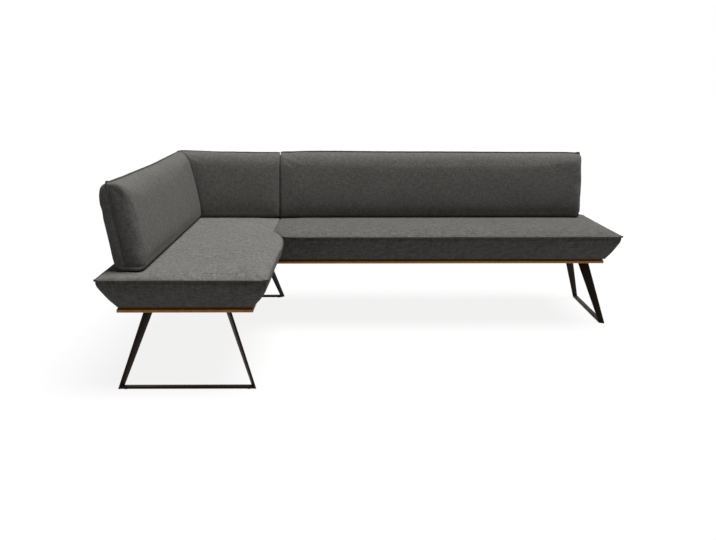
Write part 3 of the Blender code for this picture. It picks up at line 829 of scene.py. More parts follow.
@dataclass(kw_only=True)
class PaddedPiece:
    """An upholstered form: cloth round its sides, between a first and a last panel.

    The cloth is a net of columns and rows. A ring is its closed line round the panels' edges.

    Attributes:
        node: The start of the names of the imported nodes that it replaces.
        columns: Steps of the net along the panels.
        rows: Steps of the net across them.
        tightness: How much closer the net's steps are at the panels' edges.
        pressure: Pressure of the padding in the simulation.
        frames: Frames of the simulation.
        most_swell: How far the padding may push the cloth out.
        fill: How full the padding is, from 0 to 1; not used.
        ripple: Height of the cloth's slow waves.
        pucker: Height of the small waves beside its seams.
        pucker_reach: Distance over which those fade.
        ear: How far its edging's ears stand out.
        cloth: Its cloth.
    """

    node: str
    columns: int
    rows: int
    tightness: float = 0.55
    pressure: float = 4.0
    frames: int = 20
    most_swell: float = 0.006
    fill: float = 0.85
    ripple: float = 0.0012
    pucker: float = 0.0007
    pucker_reach: float = 0.022
    ear: float = 0.006
    cloth: Finish
    cells: Array = field(init=False)
    column_shares: Array = field(init=False)
    row_shares: Array = field(init=False)

    def __post_init__(self) -> None:
        """Lay out the net's rim and the shares of its columns and rows."""
        low = [(column, 0) for column in range(self.columns)]
        right = [(self.columns, row) for row in range(self.rows)]
        high = [(self.columns - column, self.rows) for column in range(self.columns)]
        left = [(0, self.rows - row) for row in range(self.rows)]
        self.cells = np.array(low + right + high + left)
        self.column_shares = closer_at_ends(self.columns, self.tightness)
        self.row_shares = closer_at_ends(self.rows, self.tightness)

    @property
    def name(self) -> str:
        """Return the piece's name."""
        return self.node + "_cushion"

    @property
    def seam(self) -> int:
        """Return the number of the ring on the seam."""
        raise NotImplementedError

    @property
    def seam_points(self) -> slice:
        """Return where the seam's points are among all the points."""
        around = len(self.cells)
        return slice(self.seam * around, (self.seam + 1) * around)

    def rings(self) -> list[Array]:
        """Return the rings, from the first panel's edge to the last one's."""
        raise NotImplementedError

    def panels(self, rings: list[Array]) -> tuple[Array, Array]:
        """Return the first and the last panel as nets of points."""
        raise NotImplementedError

    def freedom(self, points: Array) -> Array:
        """Return how freely each point may swell, from 0 to 1."""
        raise NotImplementedError

    def seam_line(self, points: Array) -> SeamLine:
        """Return the seam to be edged, from the points of its ring."""
        raise NotImplementedError

    def trace(self, low: Array, high: Array, sides: Callable[[Array], tuple[Array, Array]],
              radius: Array | float) -> tuple[Array, Array]:
        """Trace a ring in the plane of its panel.

        Args:
            low: The low edge beside each point of the ring.
            high: The high edge beside each point.
            sides: Gives the left and right edges at the points' heights in the plane.
            radius: The radius of the ring's corner nearest to each point.

        Returns:
            The points' places along and across the panel.
        """
        across = mix(low, high, self.row_shares[self.cells[:, 1]])
        left, right = sides(across)
        along = mix(left, right, self.column_shares[self.cells[:, 0]])
        from_left = along - left < right - along
        from_low = across - low < high - across
        p = np.where(from_left, along - left, right - along)
        q = np.where(from_low, across - low, high - across)
        p, q = soften(p, q, radius)
        across = np.where(from_low, low + q, high - q)
        left, right = sides(across)
        return np.where(from_left, left + p, right - p), across

    def net(self, ring: Array) -> Array:
        """Fill a ring with a net that blends its four sides.

        Args:
            ring: The ring's points, of any number of coordinates.

        Returns:
            The net, by row and column.
        """
        net = np.zeros((self.rows + 1, self.columns + 1, ring.shape[1]))
        net[self.cells[:, 1], self.cells[:, 0]] = ring
        s = self.column_shares[None, :, None]
        t = self.row_shares[:, None, None]
        low, high = net[:1], net[-1:]
        left, right = net[:, :1], net[:, -1:]
        corners = mix(mix(low[:, :1], low[:, -1:], s), mix(high[:, :1], high[:, -1:], s), t)
        filled = mix(left, right, s) + mix(low, high, t) - corners
        filled[self.cells[:, 1], self.cells[:, 0]] = ring
        return filled

    def crown(self, width: Array | float, height: Array | float,
              profile: Callable[[Array], Array]) -> Array:
        """Return the shares of a crown that rises over the net from its four edges."""
        s, t = self.column_shares[None, :], self.row_shares[:, None]
        return profile(np.minimum(s, 1 - s) * width) * profile(np.minimum(t, 1 - t) * height)

    def weave(self) -> bpy.types.Object:
        """Make the net into a closed mesh with woven coordinates and a creased seam.

        Returns:
            The piece.
        """
        rings = self.rings()
        first, last = self.panels(rings)
        count, around = len(rings), len(self.cells)
        inside = (self.rows - 1) * (self.columns - 1)
        points = np.concatenate([*rings, first[1:-1, 1:-1].reshape(-1, 3),
                                 last[1:-1, 1:-1].reshape(-1, 3)])
        faces, woven = [], []
        after = np.roll(np.arange(around), -1)
        steps = np.linalg.norm(rings[self.seam][after] - rings[self.seam], axis=1)
        lengths = np.concatenate([[0.0], np.cumsum(steps)])
        spans = [np.linalg.norm(upper - lower, axis=1) for lower, upper in zip(rings, rings[1:])]
        depths = np.cumsum([np.zeros(around)] + spans, axis=0)
        k = np.arange(around)
        for ring in range(count - 1):
            low, high = ring * around, (ring + 1) * around
            faces.append(np.stack([low + k, low + after, high + after, high + k], axis=1))
            corners = ((k, depths[ring][k]), (k + 1, depths[ring][after]),
                       (k + 1, depths[ring + 1][after]), (k, depths[ring + 1][k]))
            woven.append(np.stack([np.stack([lengths[place], depth], axis=1)
                                   for place, depth in corners], axis=1))
        for ring, start, panel, order in ((0, count * around, first, -1),
                                          (count - 1, count * around + inside, last, 1)):
            index = np.zeros((self.rows + 1, self.columns + 1), int)
            index[1:-1, 1:-1] = (start + np.arange(inside)).reshape(self.rows - 1, -1)
            index[self.cells[:, 1], self.cells[:, 0]] = ring * around + k
            faces.append(quads(index)[:, ::order])
            woven.append(quads(self.cut_flat(panel))[:, ::order])
        faces, woven = np.concatenate(faces), np.concatenate(woven)
        corner = points[faces]
        volume = np.einsum("ij,ij->i", corner[:, 0],
                           np.cross(corner[:, 1], corner[:, 2])
                           + np.cross(corner[:, 2], corner[:, 3])).sum()
        if volume < 0:
            faces, woven = faces[:, ::-1], woven[:, ::-1]
        mesh = woven_mesh(self.name, points, faces.tolist(), woven)
        ends = np.zeros(2 * len(mesh.edges), np.int32)
        mesh.edges.foreach_get("vertices", ends)
        on_seam = (ends // around == self.seam).reshape(-1, 2).all(axis=1)
        crease = mesh.attributes.new("crease_edge", "FLOAT", "EDGE")
        sharp = np.where(on_seam, SEAM_CREASE, 0.0).astype(np.float32)
        crease.data.foreach_set("value", sharp)
        return show(self.name, mesh)

    def cut_flat(self, panel: Array) -> Array:
        """Return a panel's woven coordinates: distances along its rows and columns."""
        along = np.linalg.norm(np.diff(panel, axis=1), axis=2).cumsum(axis=1)
        across = np.linalg.norm(np.diff(panel, axis=0), axis=2).cumsum(axis=0)
        return np.stack([np.pad(along, ((0, 0), (1, 0))), np.pad(across, ((1, 0), (0, 0)))],
                        axis=-1)

    def swell(self, piece: bpy.types.Object, free: Array) -> None:
        """Let the padding's pressure push the cloth out, held at its seam and foot.

        Args:
            piece: The woven piece.
            free: How freely each of its points may move.
        """
        rest = read_points(piece.data)
        held = piece.vertex_groups.new(name="held")
        pinned = [index for index, share in enumerate(free) if share < HELD_BELOW]
        seam = range(len(rest))[self.seam_points]
        held.add(sorted({*pinned, *seam}), 1.0, "REPLACE")
        modifier = piece.modifiers.new("padding", "CLOTH")
        cloth = modifier.settings
        for name, value in CLOTH_SETTINGS.items():
            setattr(cloth, name, value)
        cloth.uniform_pressure_force = self.pressure
        cloth.vertex_group_mass = held.name
        cloth.effector_weights.gravity = 0.0
        modifier.collision_settings.use_collision = False
        modifier.point_cache.frame_start, modifier.point_cache.frame_end = 1, self.frames
        scene = bpy.context.scene
        for frame in range(1, self.frames + 1):
            scene.frame_set(frame)
        graph = bpy.context.evaluated_depsgraph_get()
        moved = read_points(piece.evaluated_get(graph).data) - rest
        piece.modifiers.remove(modifier)
        piece.vertex_groups.remove(held)
        length = np.linalg.norm(moved, axis=1)
        most = self.most_swell * free
        limit = np.where(length > 1e-9, most * np.tanh(length / np.maximum(most, 1e-9))
                         / np.maximum(length, 1e-9), 0.0)
        log.info("%s: simulated swell up to %.1f mm, kept to %.1f mm", self.name,
                 1000 * length.max(), 1000 * (length * limit).max())
        write_points(piece.data, rest + moved * limit[:, None])
        scene.frame_set(1)

    def wrinkle(self, piece: bpy.types.Object, free: Array) -> None:
        """Add the cloth's slow waves, and small puckers beside its seam.

        Args:
            piece: The piece.
            free: How freely each of its points may move.
        """
        points = read_points(piece.data)
        normals = read_vectors(piece.data.vertex_normals, "vector")
        seam = points[self.seam_points]
        tree = kdtree.KDTree(len(seam))
        for index, point in enumerate(seam):
            tree.insert(point, index)
        tree.balance()
        heights = np.zeros(len(points))
        for index, point in enumerate(points):
            if free[index] < HELD_BELOW:
                continue
            place = Vector(point)
            distance = tree.find(place)[2]
            slow = sum(height * noise.noise(place * turns) for turns, height in SLOW_WAVES)
            quick = (noise.noise(place * PUCKER_TURNS)
                     * math.exp(-distance / self.pucker_reach))
            rise = min(distance / WAVES_FULL_AT, 1.0)
            heights[index] = self.ripple * slow * rise + self.pucker * quick
        write_points(piece.data, points + normals * (heights * free)[:, None])

    def smooth_out(self, piece: bpy.types.Object) -> bpy.types.Object:
        """Subdivide the cloth once, and return it as a piece with its seam sharp."""
        modifier = piece.modifiers.new("fine", "SUBSURF")
        modifier.levels = modifier.render_levels = 1
        graph = bpy.context.evaluated_depsgraph_get()
        fine = bpy.data.meshes.new_from_object(piece.evaluated_get(graph))
        coarse = piece.data
        bpy.data.objects.remove(piece)
        bpy.data.meshes.remove(coarse)
        fine.name = self.name
        return add_piece(self.name, fine, 50.0)

    def build(self, palette: Palette) -> None:
        """Make the padded piece and the edging of its seam.

        Args:
            palette: The finishes.
        """
        net = self.weave()
        points = read_points(net.data)
        free = np.clip(self.freedom(points), 0.0, 1.0)
        self.swell(net, free)
        self.wrinkle(net, free)
        seam = read_points(net.data)[self.seam_points]
        edging = SeamEdging(ear_reach=self.ear)
        settle(edging.build(self.name + "_edging", self.seam_line(seam)), palette.edging)
        piece = settle(self.smooth_out(net), self.cloth, self.node + "_cover",
                       self.node + "_foam")


def quads(net: Array) -> Array:
    """Return what a net holds at the four corners of each of its quads."""
    corners = (net[:-1, :-1], net[:-1, 1:], net[1:, 1:], net[1:, :-1])
    return np.stack(corners, axis=2).reshape(-1, 4, *net.shape[2:])


def read_vectors(items: bpy.types.bpy_prop_collection, attribute: str) -> Array:
    """Return a vector attribute of every item."""
    values = np.zeros(3 * len(items), np.float32)
    items.foreach_get(attribute, values)
    return values.reshape(-1, 3).astype(float)


def read_points(mesh: bpy.types.Mesh) -> Array:
    """Return a mesh's points."""
    return read_vectors(mesh.vertices, "co")


def write_points(mesh: bpy.types.Mesh, points: Array) -> None:
    """Move a mesh's points."""
    mesh.vertices.foreach_set("co", points.astype(np.float32).ravel())
    mesh.update()


def part_line(kept: Array, corners: Array) -> tuple[Array, Array]:
    """Cut a closed ring down to its kept stretch.

    Args:
        kept: Whether each of the ring's points is kept.
        corners: Whether each is a corner that carries an ear.

    Returns:
        The numbers of the kept points in order, and their ears.
    """
    count = len(kept)
    corners = corners + 0.5 * np.roll(corners, 1) + 0.5 * np.roll(corners, -1)
    start = next(k for k in range(count) if kept[k] and not kept[k - 1])
    order = [(start + step) % count for step in range(count)]
    order = [k for k in order if kept[k]]
    ears = corners[order]
    ears[0] = ears[-1] = 0.0
    return np.array(order), ears


def side_normals(ring: Array, axis: Array) -> Array:
    """Return the unit directions that point out of a ring, square to an axis.

    Args:
        ring: The ring's points, in order.
        axis: The unit axis that the ring goes round.

    Returns:
        A direction for each point.
    """
    tangents = np.roll(ring, -1, axis=0) - np.roll(ring, 1, axis=0)
    outward = np.cross(tangents, axis)
    outward /= np.linalg.norm(outward, axis=1)[:, None]
    middle = ring.mean(axis=0)
    return outward * np.sign(np.einsum("ij,ij->i", outward, ring - middle).sum())


@dataclass(kw_only=True)
class SeatCushion(PaddedPiece):
    """A seat's upholstery: sides that flare from the plate to the seam, and a crowned top.

    Attributes:
        layout: The bench's places.
        long: Whether it is the long seat, which meets the corner seat on its left.
        flank: The sides' profile: shares of the height to the seam, and how far the sides
            and the open end stand out there.
        fuller: How much more the inner corner stands out.
        heel: How far the long seat's end stands out at its foot.
        reached: Share of the open end's profile that it has.
        tapered: How much of that end's reach is left at the rear.
        seam_height: Height of the seam.
        crown_reach: Distance from the seam at which the crown is level.
        crown_curve: Power of the crown's rise.
        roll: Distances from the seam of the rings on the top's rolled edge.
        roll_curve: Power of that roll's rise.
        roll_share: Share of the crown's height in the roll.
        foot_radius: Radius of the corners at the foot.
        seam_radius: Radius of the corners just under the seam.
        bulge_before: Where the inner corner's curve begins before the long plate's front.
        bulge_after: Where it ends behind it.
        bulge_curve: How soon it swings out at the foot and at the seam.
        lobe: How much further it swings out half-way.
        lobe_from: How far from the curve's rear end that is.
        lobe_reach: Distance over which it fades.
        joint_gap: Gap between the two seats.
        joint_lift: How much higher the seam is where the seats press together.
        joint_reach: Distance over which that fades.
        back_depth: Depth of the backs' feet, under which the seat doesn't swell.
        edging_tilt: How steeply the seam's edging points up.
        flattened: How much smaller it is along the side that turns into the inner corner.
    """

    layout: Layout
    long: bool
    ear: float = 0.001
    flank: tuple[tuple[float, float, float], ...] = (
        (0.0, 0.0030, 0.0030), (0.07, 0.0080, 0.0065), (0.18, 0.0188, 0.0172),
        (0.32, 0.0308, 0.0277), (0.46, 0.0408, 0.0377), (0.60, 0.0492, 0.0473),
        (0.72, 0.0548, 0.0560), (0.81, 0.0580, 0.0612), (0.87, 0.0588, 0.0635),
        (0.92, 0.0576, 0.0645), (0.96, 0.0550, 0.0640), (0.985, 0.0552, 0.0630),
        (1.0, 0.0605, 0.0625))
    fuller: float = 1.13
    heel: float = 0.011
    reached: float = 0.89
    tapered: float = 0.72
    seam_height: float = 0.4725
    crown_reach: float = 0.190
    crown_curve: float = 2.2
    roll: tuple[float, ...] = (0.0025, 0.0060, 0.0110, 0.0180)
    roll_curve: float = 2.5
    roll_share: float = 0.62
    foot_radius: float = 0.022
    seam_radius: float = 0.004
    bulge_before: float = 0.4425
    bulge_after: float = 0.0600
    bulge_curve: tuple[float, float] = (2.0, 4.5)
    lobe: float = 0.07
    lobe_from: float = 0.378
    lobe_reach: float = 0.11
    joint_gap: float = 0.0016
    joint_lift: float = 0.012
    joint_reach: float = 0.060
    back_depth: float = 0.130
    edging_tilt: float = math.radians(24.0)
    flattened: float = 0.55

    @property
    def seam(self) -> int:
        """Return the number of the ring on the seam."""
        return len(self.flank) - 1

    @property
    def overhang(self) -> float:
        """Return how far the seam stands out of the plate."""
        return self.flank[-1][1]

    @property
    def front(self) -> float:
        """Return the place of the plate's front edge."""
        return self.layout.long_front if self.long else self.layout.front

    def bulge(self, y: Array, risen: float = 1.0) -> Array:
        """Return the share of the overhang that the corner seat keeps beside the long seat.

        Args:
            y: Places across the seat.
            risen: The outline's share of the overhang.

        Returns:
            The shares.
        """
        away = self.layout.long_front + self.bulge_after - y
        share = np.clip(away / (self.bulge_before + self.bulge_after), 0.0, 1.0)
        lobe = np.exp(-((away - self.lobe_from) / self.lobe_reach) ** 2)
        swing = mix(*self.bulge_curve, risen ** 4)
        return (1 - (1 - share) ** swing) * (1 + self.lobe * lobe * risen ** 4)

    def lift(self, x: Array, y: Array) -> Array:
        """Return how much higher the seam is near the seats' joint."""
        place = self.layout
        near = np.exp(-((x - place.joint) / self.joint_reach) ** 2)
        from_rear = (place.rear + self.overhang - y) / (2 * self.joint_reach)
        return self.joint_lift * near * (1 - self.bulge(y)) * np.clip(from_rear, 0.0, 1.0)

    def sides(self, offset: float, end: float,
              drawn: float = 0.0) -> Callable[[Array], tuple[Array, Array]]:
        """Return a function that gives the left and right edges of an outline.

        Args:
            offset: How far the outline stands out of the plate.
            end: How far it does at the open end.
            drawn: How far it is then drawn in, at the joint too.

        Returns:
            The function, of places across the seat.
        """
        place = self.layout

        def edges(y: Array) -> tuple[Array, Array]:
            """Return the left and right edges at places across the seat."""
            bulge = self.bulge(y, offset / self.overhang)
            joint = place.joint + bulge * offset * self.fuller
            slack = self.joint_gap / 2 + drawn
            if self.long:
                taper = mix(1.0, self.tapered, (y - self.front) / (place.rear - self.front))
                reach = (self.heel + self.reached * end) * taper
                return joint + slack, place.right + reach - drawn
            return np.full_like(y, place.left - end + drawn), joint - slack

        return edges

    def outline(self, offset: float, end: float, drawn: float,
                radius: float) -> tuple[Array, Array]:
        """Return the places along and across the bench of one ring round the seat."""
        out = offset - drawn
        low = np.full(len(self.cells), self.front - out)
        high = np.full(len(self.cells), self.layout.rear + out)
        return self.trace(low, high, self.sides(offset, end, drawn), radius)

    def rings(self) -> list[Array]:
        """Return the rings of the sides, from the foot to the seam, and of the rolled edge."""
        made = []
        for rise, offset, end in self.flank:
            radius = 0.0 if rise == 1 else mix(self.foot_radius, self.seam_radius, rise)
            x, y = self.outline(offset, end, 0.0, radius)
            top = self.seam_height + self.lift(x, y) + self.waver(x, y)
            made.append(np.stack([x, y, mix(self.layout.seat_foot, top, rise)], axis=1))
        for drawn in self.roll:
            x, y = self.outline(*self.flank[-1][1:], drawn, 0.8 * drawn)
            rolled = 1 - (1 - drawn / self.roll[-1]) ** self.roll_curve
            z = self.crest(x, y, rolled) + self.waver(x, y) * (1 - rolled)
            made.append(np.stack([x, y, z], axis=1))
        return made

    def crest(self, x: Array, y: Array, rolled: float) -> Array:
        """Return the height of the top.

        Args:
            x: Places along the bench.
            y: Places across it.
            rolled: The share of the edge's roll that is risen there.

        Returns:
            The heights.
        """
        left, right = self.sides(*self.flank[-1][1:])(y)
        low, high = self.front - self.overhang, self.layout.rear + self.overhang
        broad = 1.0
        for near, far in ((x - left, right - x), (y - low, high - y)):
            away = np.clip(np.minimum(near, far) / self.crown_reach, 0.0, 1.0)
            broad = broad * (1 - (1 - away) ** self.crown_curve)
        base = self.seam_height + self.lift(x, y)
        return mix(base, self.layout.seat_top, mix(broad, rolled, self.roll_share))

    def waver(self, x: Array, y: Array) -> Array:
        """Return the small rises and falls of the hand-sewn seam."""
        heights = [sum(height * noise.noise(Vector((a * turns, b * turns, layer)))
                       for height, turns, layer in SEAM_WAVES)
                   for a, b in zip(np.ravel(x), np.ravel(y))]
        return np.array(heights).reshape(np.shape(x))

    def panels(self, rings: list[Array]) -> tuple[Array, Array]:
        """Return the flat underside and the crowned top."""
        foot, top = self.net(rings[0]), self.net(rings[-1])
        top[1:-1, 1:-1, 2] = self.crest(top[..., 0], top[..., 1], 1.0)[1:-1, 1:-1]
        return foot, top

    def freedom(self, points: Array) -> Array:
        """Return how freely the cloth may swell: not under the backs, at the joint or below."""
        place = self.layout
        x, y, z = points.T
        margin, back_fade, joint_fade, met_from = 0.015, 0.09, 0.04, 0.03
        under_seam, side_share, side_fade, foot_held = 0.004, 0.7, 0.35, 0.002
        free = ease((place.rear - self.back_depth - margin - y) / back_fade)
        if not self.long:
            free = free * ease((x - place.left - self.back_depth - margin) / back_fade)
        side = z < self.seam_height - under_seam
        rise = (z - place.seat_foot) / (self.seam_height - place.seat_foot)
        free = np.where(side, side_share * ease(rise / side_fade), free)
        joint = place.joint + self.bulge(y) * self.overhang * self.fuller
        beside = np.abs(x - joint) / joint_fade
        met = y > place.long_front - self.overhang - met_from
        free = np.where(met, free * ease(beside), free)
        return np.where(z < place.seat_foot + foot_held, 0.0, free)

    def seam_line(self, points: Array) -> SeamLine:
        """Return the seam's edging line, which leaves out the side at the seats' joint."""
        up = np.array([0.0, 0.0, 1.0])
        flat = side_normals(points, up)
        lean, turn = math.sin(self.edging_tilt), math.cos(self.edging_tilt)
        column, row = self.cells[:, 0], self.cells[:, 1]
        joint_side = column == (0 if self.long else self.columns)
        meeting = self.layout.long_front - self.overhang - 0.002
        kept = ~(joint_side & (points[:, 1] > meeting)) | (joint_side & (row == self.rows))
        if self.long:
            kept |= joint_side & (row == 0)
        corners = np.isin(column, (0, self.columns)) & np.isin(row, (0, self.rows))
        order, ears = part_line(kept, corners)
        flat_from, flat_over = 0.02, 0.3
        turned = ease((points[:, 1] - self.front - flat_from) / flat_over)
        sizes = 1 - self.flattened * joint_side * turned
        return SeamLine(points[order], (turn * flat + lean * up)[order],
                        (turn * up - lean * flat)[order], ears, sizes[order])


def by_end(free: float, butt: float, mitre: float) -> dict[End, float]:
    """Return a dataclass field that holds a value for each kind of end."""
    return field(default_factory=lambda: {End.FREE: free, End.BUTT: butt, End.MITRE: mitre})


@dataclass(kw_only=True)
class BackCushion(PaddedPiece):
    """A back's upholstery, standing on the seat and leaning out over the plate's edge.

    Its net is given along the plate's edge, up, and outwards from that edge.

    Attributes:
        layout: The bench's places.
        edge: The plate edge that it stands on.
        start: Its first end along the edge.
        finish: Its last end.
        ends: The kinds of its two ends.
        top: Height of its top.
        top_line: How the top rises and sags, at shares of its length.
        lean: Angle by which it leans out.
        foot_thickness: Its thickness at the foot.
        top_thickness: Its thickness at the top of each kind of end.
        seam_depth: Distance of the seam from the rear face.
        rear_bulge: How far the rear panel's edge stands out of the rear face.
        rear_depth: How far in front of that the edge's roll begins.
        rear_foot: Height of the roll at the foot.
        rear_top: Height of it at the top.
        rear_rolls: Width of it at each kind of end.
        rear_swell: How far the cloth behind the seam stands out of a free end.
        rear_crown: How far the rear panel is crowned.
        rear_reach: Distance from its edge at which that crown is level.
        face_crown: How far the front panel is crowned.
        face_reach: Distance from an end over which it rises.
        end_crown: Share of that crown which each kind of end keeps.
        top_roll: Height of the roll of the front panel's upper edge.
        end_top_roll: The same at a free end.
        foot_roll: Radius of its lower edge.
        end_rolls: Radius of its edge at each kind of end, at mid-height.
        end_growth: How that radius changes, at shares of the height.
        roll_blend: Distance over which the roll of one side passes into the next.
        top_corners: Corner radius at the top of each kind of end.
        foot_corners: Corner radius at its foot.
        flare: How much wider a free end is at the top.
        end_tuck: How far the seam is drawn in at a free end.
        fold: How deep the fold is above the foot of a free end.
        fold_height: Its height above the foot.
        end_swell: How far a free end's cloth stands out of it.
        top_swell: How far the top's cloth does.
        joint_gap: Gap to the next back.
        rear_steps: Steps round the rear panel's edge.
        box_steps: Rings between the seam and the front edge's roll.
        roll_steps: Steps round that roll.
        foot_rows: Heights above the foot of the net's lowest rows.
    """

    layout: Layout
    edge: Edge
    start: float
    finish: float
    ends: tuple[End, End]
    top: float
    top_line: tuple[tuple[float, float], ...]
    lean: float = math.radians(10.0)
    foot_thickness: float = 0.128
    top_thickness: dict[End, float] = by_end(0.123, 0.110, 0.106)
    seam_depth: float = 0.049
    rear_bulge: float = 0.003
    rear_depth: float = 0.046
    rear_foot: float = 0.016
    rear_top: float = 0.085
    rear_rolls: dict[End, float] = by_end(0.024, 0.008, 0.0)
    rear_swell: float = 0.004
    rear_crown: float = 0.004
    rear_reach: float = 0.120
    face_crown: float = 0.008
    face_reach: float = 0.180
    end_crown: dict[End, float] = by_end(0.9, 0.75, 1.0)
    top_roll: float = 0.060
    end_top_roll: float = 0.038
    foot_roll: float = 0.030
    end_rolls: dict[End, float] = by_end(0.021, 0.015, 0.009)
    end_growth: tuple[tuple[float, float], ...] = (
        (0.0, 1.8), (0.15, 1.25), (0.5, 1.0), (0.85, 0.95), (1.0, 0.85))
    roll_blend: float = 0.050
    top_corners: dict[End, float] = by_end(0.014, 0.012, 0.006)
    foot_corners: dict[End, float] = by_end(0.010, 0.002, 0.002)
    flare: float
    end_tuck: float = 0.003
    fold: float = 0.006
    fold_height: float = 0.020
    end_swell: float = 0.007
    top_swell: float = 0.002
    joint_gap: float = 0.0016
    rear_steps: int = 5
    box_steps: int = 4
    roll_steps: int = 8
    foot_rows: tuple[float, ...] = (0.0, 0.006, 0.012, 0.016, 0.020, 0.025, 0.033, 0.045)

    def __post_init__(self) -> None:
        """Lay out the net, with closer rows at the foot and the top."""
        super().__post_init__()
        lowest = np.array(self.foot_rows) / self.height
        left = self.rows + 1 - len(lowest)
        upper = 2 * closer_at_ends(2 * left, 0.75)[left + 1:] - 1
        self.row_shares = np.concatenate([lowest, mix(lowest[-1], 1.0, upper)])

    @property
    def seam(self) -> int:
        """Return the number of the ring on the seam, which follows the rear panel's edge."""
        return self.rear_steps + 1

    @property
    def length(self) -> float:
        """Return the distance between its ends."""
        return self.finish - self.start

    @property
    def height(self) -> float:
        """Return the height from its foot to its top."""
        return self.top - self.layout.back_foot

    @property
    def ring_shares(self) -> tuple[Array, Array]:
        """Return the shares along the back and up it of the points of a ring."""
        return self.column_shares[self.cells[:, 0]], self.row_shares[self.cells[:, 1]]

    @property
    def free_ends(self) -> list[float]:
        """Return 1 for each end that is free, and 0 for one that isn't."""
        return [float(kind is End.FREE) for kind in self.ends]

    def rise(self, z: Array) -> Array:
        """Return a height's share of the back's height."""
        return (z - self.layout.back_foot) / self.height

    def outward(self, s: Array, z: Array, depth: Array | float,
                recess: Array | float) -> Array:
        """Return how far out of the plate's edge a point stands.

        Args:
            s: The point's share along the back.
            z: Its height.
            depth: 0 on the rear face and 1 on the front one.
            recess: How far it is behind that.

        Returns:
            The distance outwards.
        """
        top = mix(*(self.top_thickness[kind] for kind in self.ends), s)
        thickness = mix(self.foot_thickness, top, self.rise(z))
        return (z - self.layout.back_foot) * math.tan(self.lean) - depth * thickness + recess

    def end_edge(self, last: bool, z: Array, outward: Array) -> Array:
        """Return the place of an end along the edge, at heights and distances outwards."""
        place, inward = (self.finish, -1) if last else (self.start, 1)
        kind = self.ends[int(last)]
        if kind is End.FREE:
            above = (z - self.layout.back_foot) / self.fold_height
            crease, swell, fade = 0.2, 0.3, 0.08
            fold = (np.exp(-((above - 1) / crease) ** 2)
                    - 0.6 * np.exp(-((above - 0.5) / swell) ** 2))
            fold = self.fold * fold * np.clip(-outward / fade, 0.0, 1.0)
            spread = self.flare * np.sqrt(np.clip(self.rise(z), 0.0, 1.0))
            return place + inward * (fold - spread)
        drawn = self.joint_gap / 2 - (outward if kind is End.MITRE else 0.0)
        return place + inward * drawn

    def belly(self, s: Array, t: Array) -> Array:
        """Return how far the front panel is crowned, at shares along the back and up it."""
        made = self.face_crown * (1 - (2 * t ** 0.85 - 1) ** 2)
        for last, kind in enumerate(self.ends):
            away = (1 - s if last else s) * self.length
            risen = 1 - (1 - np.clip(away / self.face_reach, 0.0, 1.0)) ** 2
            made = made * mix(self.end_crown[kind], 1.0, risen)
        return made

    def top_rolls(self) -> Array:
        """Return the height of the top's roll beside each point of a ring."""
        made, s = self.top_roll, self.ring_shares[0]
        for away, kind in zip((s, 1 - s), self.ends):
            if kind is End.FREE:
                made = mix(self.end_top_roll, made, ease(away * self.length / 0.20))
        return made

    def end_roll(self, last: bool) -> Array:
        """Return the radius of the front edge's roll at an end, beside each point of a ring."""
        growth = through(self.end_growth, self.ring_shares[1])
        return self.end_rolls[self.ends[int(last)]] * growth

    def rolls(self) -> Array:
        """Return the radius of the front edge's roll beside each point of a ring."""
        s, t = self.ring_shares
        end = np.where(s < 0.5, self.end_roll(False), self.end_roll(True))
        level = np.where(t < 0.5, self.foot_roll, self.top_rolls())
        on_end = np.isin(self.cells[:, 0], (0, self.columns))
        away = np.where(on_end, np.minimum(t, 1 - t) * self.height,
                        np.minimum(s, 1 - s) * self.length)
        return mix(np.maximum(end, level), np.where(on_end, end, level),
                   ease(away / self.roll_blend))

    def corner_radii(self, seam: bool) -> Array:
        """Return the corner radius beside each point of a ring, on the seam or off it."""
        s, t = self.ring_shares
        first, last = ([table[kind] for table in (self.foot_corners, self.top_corners)]
                       for kind in self.ends)
        foot, top = (np.where(s < 0.5, *pair) for pair in zip(first, last))
        made = np.where(t < 0.5, foot, top)
        kinds = np.where(s < 0.5, self.ends[0] is End.FREE, self.ends[1] is End.FREE)
        return np.where(kinds, 0.003, made) if seam else made

    def ring(self, depth: float, recess: Array | float, insets: Sequence[Array | float],
             radius: Array) -> Array:
        """Trace one ring round the back.

        Args:
            depth: 0 on the rear face and 1 on the front one.
            recess: How far the ring is behind that.
            insets: How far it is drawn in at the foot, the top, the first end and the last.
            radius: The radius of its corners.

        Returns:
            The ring's points.
        """
        s, t = self.ring_shares
        low, high, first, last = insets
        belly = depth * self.belly(s, t)

        def sides(z: Array) -> tuple[Array, Array]:
            """Return the first and last edges at the ring's heights."""
            out = self.outward(s, z, depth, recess) - belly
            return self.end_edge(False, z, out) + first, self.end_edge(True, z, out) - last

        tops = self.top + through(self.top_line, s) - high
        along, z = self.trace(np.full(len(s), self.layout.back_foot + low), tops, sides, radius)
        return self.placed(along, self.outward(s, z, depth, recess) - belly, z)

    def placed(self, along: Array, outward: Array, z: Array) -> Array:
        """Return points given along the edge, outwards from it and up."""
        if self.edge is Edge.LEFT:
            return np.stack([self.layout.left - outward, along, z], axis=-1)
        return np.stack([along, self.layout.rear + outward, z], axis=-1)

    def unplaced(self, points: Array) -> tuple[Array, Array, Array]:
        """Return points' places along the edge, outwards from it and up."""
        if self.edge is Edge.LEFT:
            return points[..., 1], self.layout.left - points[..., 0], points[..., 2]
        return points[..., 0], points[..., 1] - self.layout.rear, points[..., 2]

